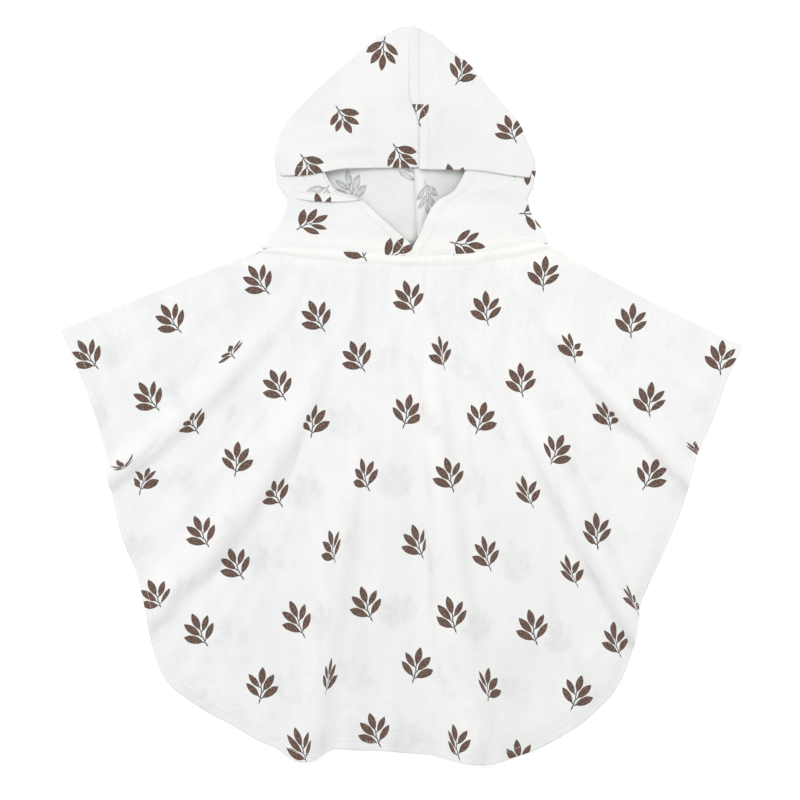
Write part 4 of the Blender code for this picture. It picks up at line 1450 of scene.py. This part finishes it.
def printed_muslin(repeat, right_side):
    """Double cotton muslin, bleached and printed on one side.

    Loose two-layer weave that dries in fine crinkles: the eye gets a matt white with faint puckers, streaks
    where it is gathered, and soft grey where what lies below shows through. Shade in its crinkles, folds and
    hollows and light on its ridges are partly painted into that white.
    """
    look = bpy.context.scene.poncho_print
    name = "double_muslin_printed" if right_side else "double_muslin_wrong_side"
    material = bpy.data.materials.new(name)
    material.use_nodes = True
    tree = material.node_tree
    tree.nodes.clear()
    uv = add_node(tree, "ShaderNodeUVMap", uv_map="cloth")
    place = add_node(tree, VECTOR_MATH, {0: uv, "Scale": 1 / MM}, operation="SCALE")
    lie = add_node(tree, "ShaderNodeTexCoord", output="Object")
    lie = add_node(tree, "ShaderNodeSeparateXYZ", (lie,)).node.outputs
    at = {}
    for change, axis, start, end, before, after, side in CHANGES:
        if side in ("both", "right" if right_side else "wrong"):
            at[change] = add_node(tree, MAP_RANGE, (lie[axis], start, end, before, after), **SOFT)

    at_neck = add_node(tree, MATH, (at["near_neck"], at["on_hood"]), **TIMES)
    shares = {"gathers": at_neck, "ripples": at["at_hem"]}
    noises, greying, relief = {}, 0.0, 0.0
    # Each crinkle greys the cloth as painted shade and raises its bump.
    for crinkle, wide, long, detail, low, high, strength in CRINKLES:
        grain = add_node(tree, VECTOR_MATH, (place, (1 / wide, 1 / long, 1.0)), **TIMES)
        noise_inputs = {"Vector": grain, "Scale": 1.0, "Detail": detail, "Roughness": 0.6}
        noises[crinkle] = add_node(tree, "ShaderNodeTexNoise", noise_inputs)
        grey = add_node(tree, MAP_RANGE, (noises[crinkle], low, high, 0.0, strength), **SOFT)
        share = shares.get(crinkle, 1.0)
        greying = add_node(tree, MATH, (grey, share, greying), **MULTIPLY_ADD)
        relief = add_node(tree, MATH, (noises[crinkle], share, relief), **MULTIPLY_ADD)
    cloth = muslin_white(tree, lie, at, noises, greying, right_side)

    if right_side:
        # The print of the layer below shows through as a soft uneven grey, moved across.
        moved = add_node(tree, VECTOR_MATH, (place, BELOW_MOVED), operation="ADD")
        below = add_node(tree, "ShaderNodeGroup", (moved, BELOW_DRAWN_IN), "Leaf", node_tree=repeat)
        ghost = add_node(tree, MAP_RANGE, (below, -5.0, 1.6, 0.0, 0.88), **SOFT)
        mottled = add_node(tree, MAP_RANGE, (noises["puckers"], 0.35, 0.65, 0.75, 1.15), **SOFT)
        uneven = add_node(tree, MAP_RANGE, (noises["clouds"], 0.36, 0.62, 0.30, 1.5), **SOFT)
        body_only = add_node(tree, MAP_RANGE, (lie["Y"], -0.02, 0.10, look.show_through, 0.01), **SOFT)
        for share in (mottled, uneven, body_only):
            ghost = add_node(tree, MATH, (ghost, share), **TIMES)
        cloth = add_node(tree, MIX, {0: ghost, 6: cloth, 7: SHADOW_INK}, **COLOURS)

    # Crinkles draw the print in, most of all near the neck.
    printed = add_node(tree, "ShaderNodeGroup", (place, at["drawn_in"]), node_tree=repeat).node.outputs
    edge = PRINT_EDGE[right_side]
    leaf = add_node(tree, MAP_RANGE, (printed["Leaf"], -edge, edge, 0.0, 1.0), **SOFT)
    stem = add_node(tree, MAP_RANGE, (printed["Stem"], -edge, edge, 0.0, 1.0), **SOFT)
    if right_side:
        # Ink is darkest at the rim of a leaf, and flecked by the weave inside.
        rim = add_node(tree, MAP_RANGE, (printed["Leaf"], 0.1, 1.2, 0.0, 1.0), **SOFT)
        ink = add_node(tree, MIX, {0: rim, 6: RIM_INK, 7: look.leaf}, **COLOURS)
        worn = add_node(tree, MAP_RANGE, (noises["fleck"], 0.42, 0.72, 0.0, 0.75), **SOFT)
        ink = add_node(tree, MIX, {0: worn, 6: ink, 7: WORN_INK}, **COLOURS)
        leaf_share = stem_share = 0.97
    else:
        # On the wrong side the print is faint, and strongest at the rims of the leaves.
        ink = WRONG_SIDE_INK
        rim = add_node(tree, MAP_RANGE, (printed["Leaf"], 0.3, 2.2, 0.70, 0.38), **SOFT)
        worn = add_node(tree, MAP_RANGE, (noises["puckers"], 0.35, 0.70, 0.45, 1.20), **SOFT)
        leaf_share, stem_share = add_node(tree, MATH, (rim, worn), **TIMES), 0.55
    leaf = add_node(tree, MATH, (leaf, leaf_share), **TIMES)
    stem = add_node(tree, MATH, (stem, stem_share), **TIMES)
    for share, colour in ((leaf, ink), (stem, look.stem)):
        cloth = add_node(tree, MIX, {0: share, 6: cloth, 7: colour}, **COLOURS)

    bump = add_node(tree, "ShaderNodeBump", {"Height": relief, "Strength": 0.5, "Distance": 0.0005})
    surface = {"Base Color": cloth, "Normal": bump, "Roughness": 0.92, "IOR": 1.5}
    sheen = {"Specular IOR Level": 0.18, "Sheen Weight": 0.12, "Sheen Roughness": 0.5}
    shader = add_node(tree, "ShaderNodeBsdfPrincipled", surface | sheen)
    add_node(tree, "ShaderNodeOutputMaterial", (shader,))
    return material


def plain_material(name, colour, roughness, mottled, glow=0.0):
    """A plain matt material with a faint mottle; mottled is how far it darkens the colour."""
    material = bpy.data.materials.new(name)
    material.use_nodes = True
    tree = material.node_tree
    tree.nodes.clear()
    spot = add_node(tree, "ShaderNodeTexCoord", output="Object")
    mottle = add_node(tree, "ShaderNodeTexNoise", {"Vector": spot, "Scale": 900.0, "Detail": 2.0})
    darker = (*(c * (1 - mottled) for c in colour[:3]), 1.0)
    mixed = {0: mottle, 6: (*colour[:3], 1.0), 7: darker}
    mixed = add_node(tree, MIX, mixed, **COLOURS)
    surface = {"Base Color": mixed, "Roughness": roughness}
    lit = {"Emission Color": (1.0, 1.0, 1.0, 1.0), "Emission Strength": glow}
    shader = add_node(tree, "ShaderNodeBsdfPrincipled", surface | lit)
    add_node(tree, "ShaderNodeOutputMaterial", (shader,))
    return material


def shared_materials():
    """The cloth's right and wrong side, made once."""
    found = [bpy.data.materials.get(n) for n in ("double_muslin_printed", "double_muslin_wrong_side")]
    if None in found:
        repeat = sprig_repeat()
        found = [printed_muslin(repeat, True), printed_muslin(repeat, False)]
    return found


STITCH_SIDES = 5
STITCH_LENGTH = 0.76  # share of the distance between stitches
# Rings of a stitch: share of its length, share of its radius, and lift.
STITCH_RINGS = (
    (0.0, 0.35, -0.12),
    (0.18, 0.95, 0.02),
    (0.5, 1.0, 0.10),
    (0.82, 0.95, 0.02),
    (1.0, 0.35, -0.12),
)
HEM_STITCH_LIFT = 0.02  # of the thread over the wall, along the hems
SEAM_STITCH_LIFT = 0.05  # along the crown's seam
WELT_STITCH_SINK = 0.12  # below it, under the welt
LAPEL_STITCH_LIFT = 0.45  # over the middle of the lapel's hem


def stitch_points(start, end, normal, radius):
    """Rings of one short stitch that dips into the cloth at both ends."""
    way = end - start
    length = np.linalg.norm(way)
    way = way / length
    side = np.cross(normal, way)
    side /= np.linalg.norm(side)
    up = np.cross(way, side)
    rings = []
    for share, size, lift in STITCH_RINGS:
        middle = start + way * length * share + up * lift
        for k in range(STITCH_SIDES):
            turn = 2 * math.pi * k / STITCH_SIDES
            rings.append(middle + radius * size * (side * math.cos(turn) + up * math.sin(turn)))
    return rings


def sew(points, faces, run, normals, lift):
    """Adds stitches along a run of points, lifted off it along the normals."""
    settings = cloth_settings()
    step, radius = settings.stitch / MM, settings.thread / MM / 2
    gaps = np.linalg.norm(np.diff(run, axis=0), axis=1)
    keep = np.concatenate([[True], gaps > 1e-6])
    run, normals = run[keep], normals[keep]
    length = np.concatenate([[0.0], np.cumsum(np.linalg.norm(np.diff(run, axis=0), axis=1))])
    for index in range(int(length[-1] / step)):
        ends = np.array([index, index + STITCH_LENGTH]) * step
        places = np.stack([np.interp(ends, length, values) for values in run.T], axis=1)
        normal = np.array([np.interp(ends.mean(), length, values) for values in normals.T])
        normal /= np.linalg.norm(normal)
        places = places + normal * lift
        base = len(points)
        points += stitch_points(places[0], places[1], normal, radius)
        for ring in range(len(STITCH_RINGS) - 1):
            for k in range(STITCH_SIDES):
                here, after_ring, opposite, after = quad(ring, k, STITCH_SIDES, base)
                faces.append((here, after, opposite, after_ring))
        last = len(points) - STITCH_SIDES
        faces.append(tuple(base + k for k in reversed(range(STITCH_SIDES))))
        faces.append(tuple(last + k for k in range(STITCH_SIDES)))


def thread_material():
    """Cotton sewing thread, spun and bleached: matt, a little brighter than the cloth."""
    found = bpy.data.materials.get("cotton_thread")
    return found or plain_material("cotton_thread", linear("#EAEAE8"), 0.85, 0.12)


def declare(obj, node, on_it):
    """Hangs a cloth and the pieces on it from the root, and hides the solid that it stands for."""
    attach(obj, "root")
    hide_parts(node)
    for piece in on_it:
        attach(piece, "root")


class PONCHO_OT_body(bpy.types.Operator):
    """Lay the body of the poncho: one cloth folded over both shoulders, hemmed all round"""

    bl_idname = "poncho.body"
    bl_label = "Body"

    def execute(self, context):
        obj, grid, front_count = make_body(shared_materials())
        points, faces = [], []
        normals = grid_normals(grid, True)
        wall = context.scene.poncho_cloth.band_thickness / MM / 2
        # Round the front hem, over the shoulder fold, and back along the back hem.
        seam = len(grid) - len(HEM_RINGS) + HEM_RINGS.index(STITCH_LINE)
        sew(points, faces, grid[seam], normals[seam], wall + HEM_STITCH_LIFT)
        neck = NECK_RINGS.index(WELT_STITCHES)
        run, up = grid[neck, :front_count], normals[neck, :front_count]
        sew(points, faces, run, up, wall - WELT_STITCH_SINK)
        stitches = smooth_object("body_stitches", points, faces, [thread_material()])
        declare(obj, "body", [stitches])
        return {"FINISHED"}


class PONCHO_OT_hood(bpy.types.Operator):
    """Lay both halves of the hood, with the hem round the face and the seams between them"""

    bl_idname = "poncho.hood"
    bl_label = "Hood"

    def execute(self, context):
        materials = shared_materials()
        left, left_grid, left_hems = make_hood("hood_left_cloth", HOOD_LEFT, -1, materials)
        right, right_grid, right_hems = make_hood("hood_right_cloth", HOOD_RIGHT, 1, materials)
        throat = left_grid[CROWN_END:, HOOD_BACK_STEPS + HOOD_SIDE_STEPS :].reshape(-1, 3)
        lapel, lapel_hem = make_lapel("hood_left_lapel", throat, materials)
        on_it = {-1: [lapel], 1: []}
        wall = context.scene.poncho_cloth.band_thickness / MM / 2
        for name, side, grid, (crown_hem, throat_hem, seam_band) in (
            ("hood_left_stitches", -1, left_grid, left_hems),
            ("hood_right_stitches", 1, right_grid, right_hems),
        ):
            points, faces = [], []
            normals = grid_normals(grid, False) * -side
            sew(points, faces, *run_at(grid, normals, crown_hem, STITCH_LINE), wall + HEM_STITCH_LIFT)
            # The throat's hem and the crown's seam run down the grid, not across it.
            turned = grid.transpose(1, 0, 2), normals.transpose(1, 0, 2)
            sew(points, faces, *run_at(*turned, throat_hem.T, STITCH_LINE), wall + HEM_STITCH_LIFT)
            if side > 0:
                sew(points, faces, *run_at(*turned, seam_band.T, CROWN_STITCHES), wall + SEAM_STITCH_LIFT)
            else:
                up = np.tile((0.0, 0.0, 1.0), (len(lapel_hem), 1))
                sew(points, faces, lapel_hem, up, LAPEL_STITCH_LIFT)
            on_it[side].append(smooth_object(name, points, faces, [thread_material()]))
        declare(left, "hood_left", on_it[-1])
        declare(right, "hood_right", on_it[1])
        return {"FINISHED"}


# The stage, in metres.
TABLE_SIZE = 40.0
TABLE_DEPTH = -0.0005
CAMERA_X, CAMERA_Y = -0.00195, -0.00265
KEY_PLACE, KEY_SIZE = (-1.2, 2.4, 4.1), 3.4
FILL_PLACE, FILL_SIZE = (2.6, -2.6, 3.6), 3.0


class PONCHO_OT_stage(bpy.types.Operator):
    """Set the pale table, the soft light and the camera straight above"""

    bl_idname = "poncho.stage"
    bl_label = "Stage"

    def execute(self, context):
        scene = context.scene
        look = scene.poncho_stage
        bpy.ops.mesh.primitive_plane_add(size=TABLE_SIZE, location=(0.0, 0.0, TABLE_DEPTH))
        table = context.active_object
        table.name = "table_top"
        # A light table of opal acrylic: it shows no shadow, and looks plain white.
        opal = plain_material("opal_acrylic_lit", look.table, 0.9, 0.01, look.table_glow)
        table.data.materials.append(opal)

        world = bpy.data.worlds.new("soft_room")
        world.use_nodes = True
        background = world.node_tree.nodes["Background"]
        background.inputs["Color"].default_value = (1.0, 1.0, 1.0, 1.0)
        background.inputs["Strength"].default_value = look.sky
        scene.world = world
        for name, power, place, size in (
            ("key_soft_box", look.key_power, KEY_PLACE, KEY_SIZE),
            ("fill_soft_box", look.fill_power, FILL_PLACE, FILL_SIZE),
        ):
            lamp = bpy.data.lights.new(name, "AREA")
            lamp.energy = power
            lamp.size = size
            light = bpy.data.objects.new(name, lamp)
            light.location = place
            light.rotation_euler = (-Vector(place)).to_track_quat("-Z", "Y").to_euler()
            scene.collection.objects.link(light)

        lens = bpy.data.cameras.new("camera")
        lens.lens = 100.0
        lens.sensor_width = 36.0
        camera = bpy.data.objects.new("camera", lens)
        camera.location = (CAMERA_X, CAMERA_Y, look.camera_height)
        scene.collection.objects.link(camera)
        scene.camera = camera
        scene.view_settings.view_transform = "Standard"
        scene.view_settings.look = "None"
        return {"FINISHED"}


class PONCHO_PT_panel(bpy.types.Panel):
    """Sizes, colours and steps of the poncho"""

    bl_label = "Hooded Bath Poncho"
    bl_idname = "PONCHO_PT_panel"
    bl_space_type = "VIEW_3D"
    bl_region_type = "UI"
    bl_category = "Poncho"

    def draw(self, context):
        layout = self.layout
        for group in (context.scene.poncho_cloth, context.scene.poncho_print, context.scene.poncho_stage):
            box = layout.box()
            for name in group.__annotations__:
                box.prop(group, name)
        for step in STEPS:
            layout.operator(step.bl_idname)


STEPS = (PONCHO_OT_stage, PONCHO_OT_body, PONCHO_OT_hood)
CLASSES = (PonchoCloth, PonchoPrint, PonchoStage, *STEPS, PONCHO_PT_panel)


def register():
    for item in CLASSES:
        bpy.utils.register_class(item)
    bpy.types.Scene.poncho_cloth = PointerProperty(type=PonchoCloth)
    bpy.types.Scene.poncho_print = PointerProperty(type=PonchoPrint)
    bpy.types.Scene.poncho_stage = PointerProperty(type=PonchoStage)


def unregister():
    del bpy.types.Scene.poncho_stage
    del bpy.types.Scene.poncho_print
    del bpy.types.Scene.poncho_cloth
    for item in reversed(CLASSES):
        bpy.utils.unregister_class(item)


def main():
    register()
    bpy.ops.poncho.stage()
    bpy.ops.poncho.body()
    bpy.ops.poncho.hood()


if __name__ == "__main__":
    main()
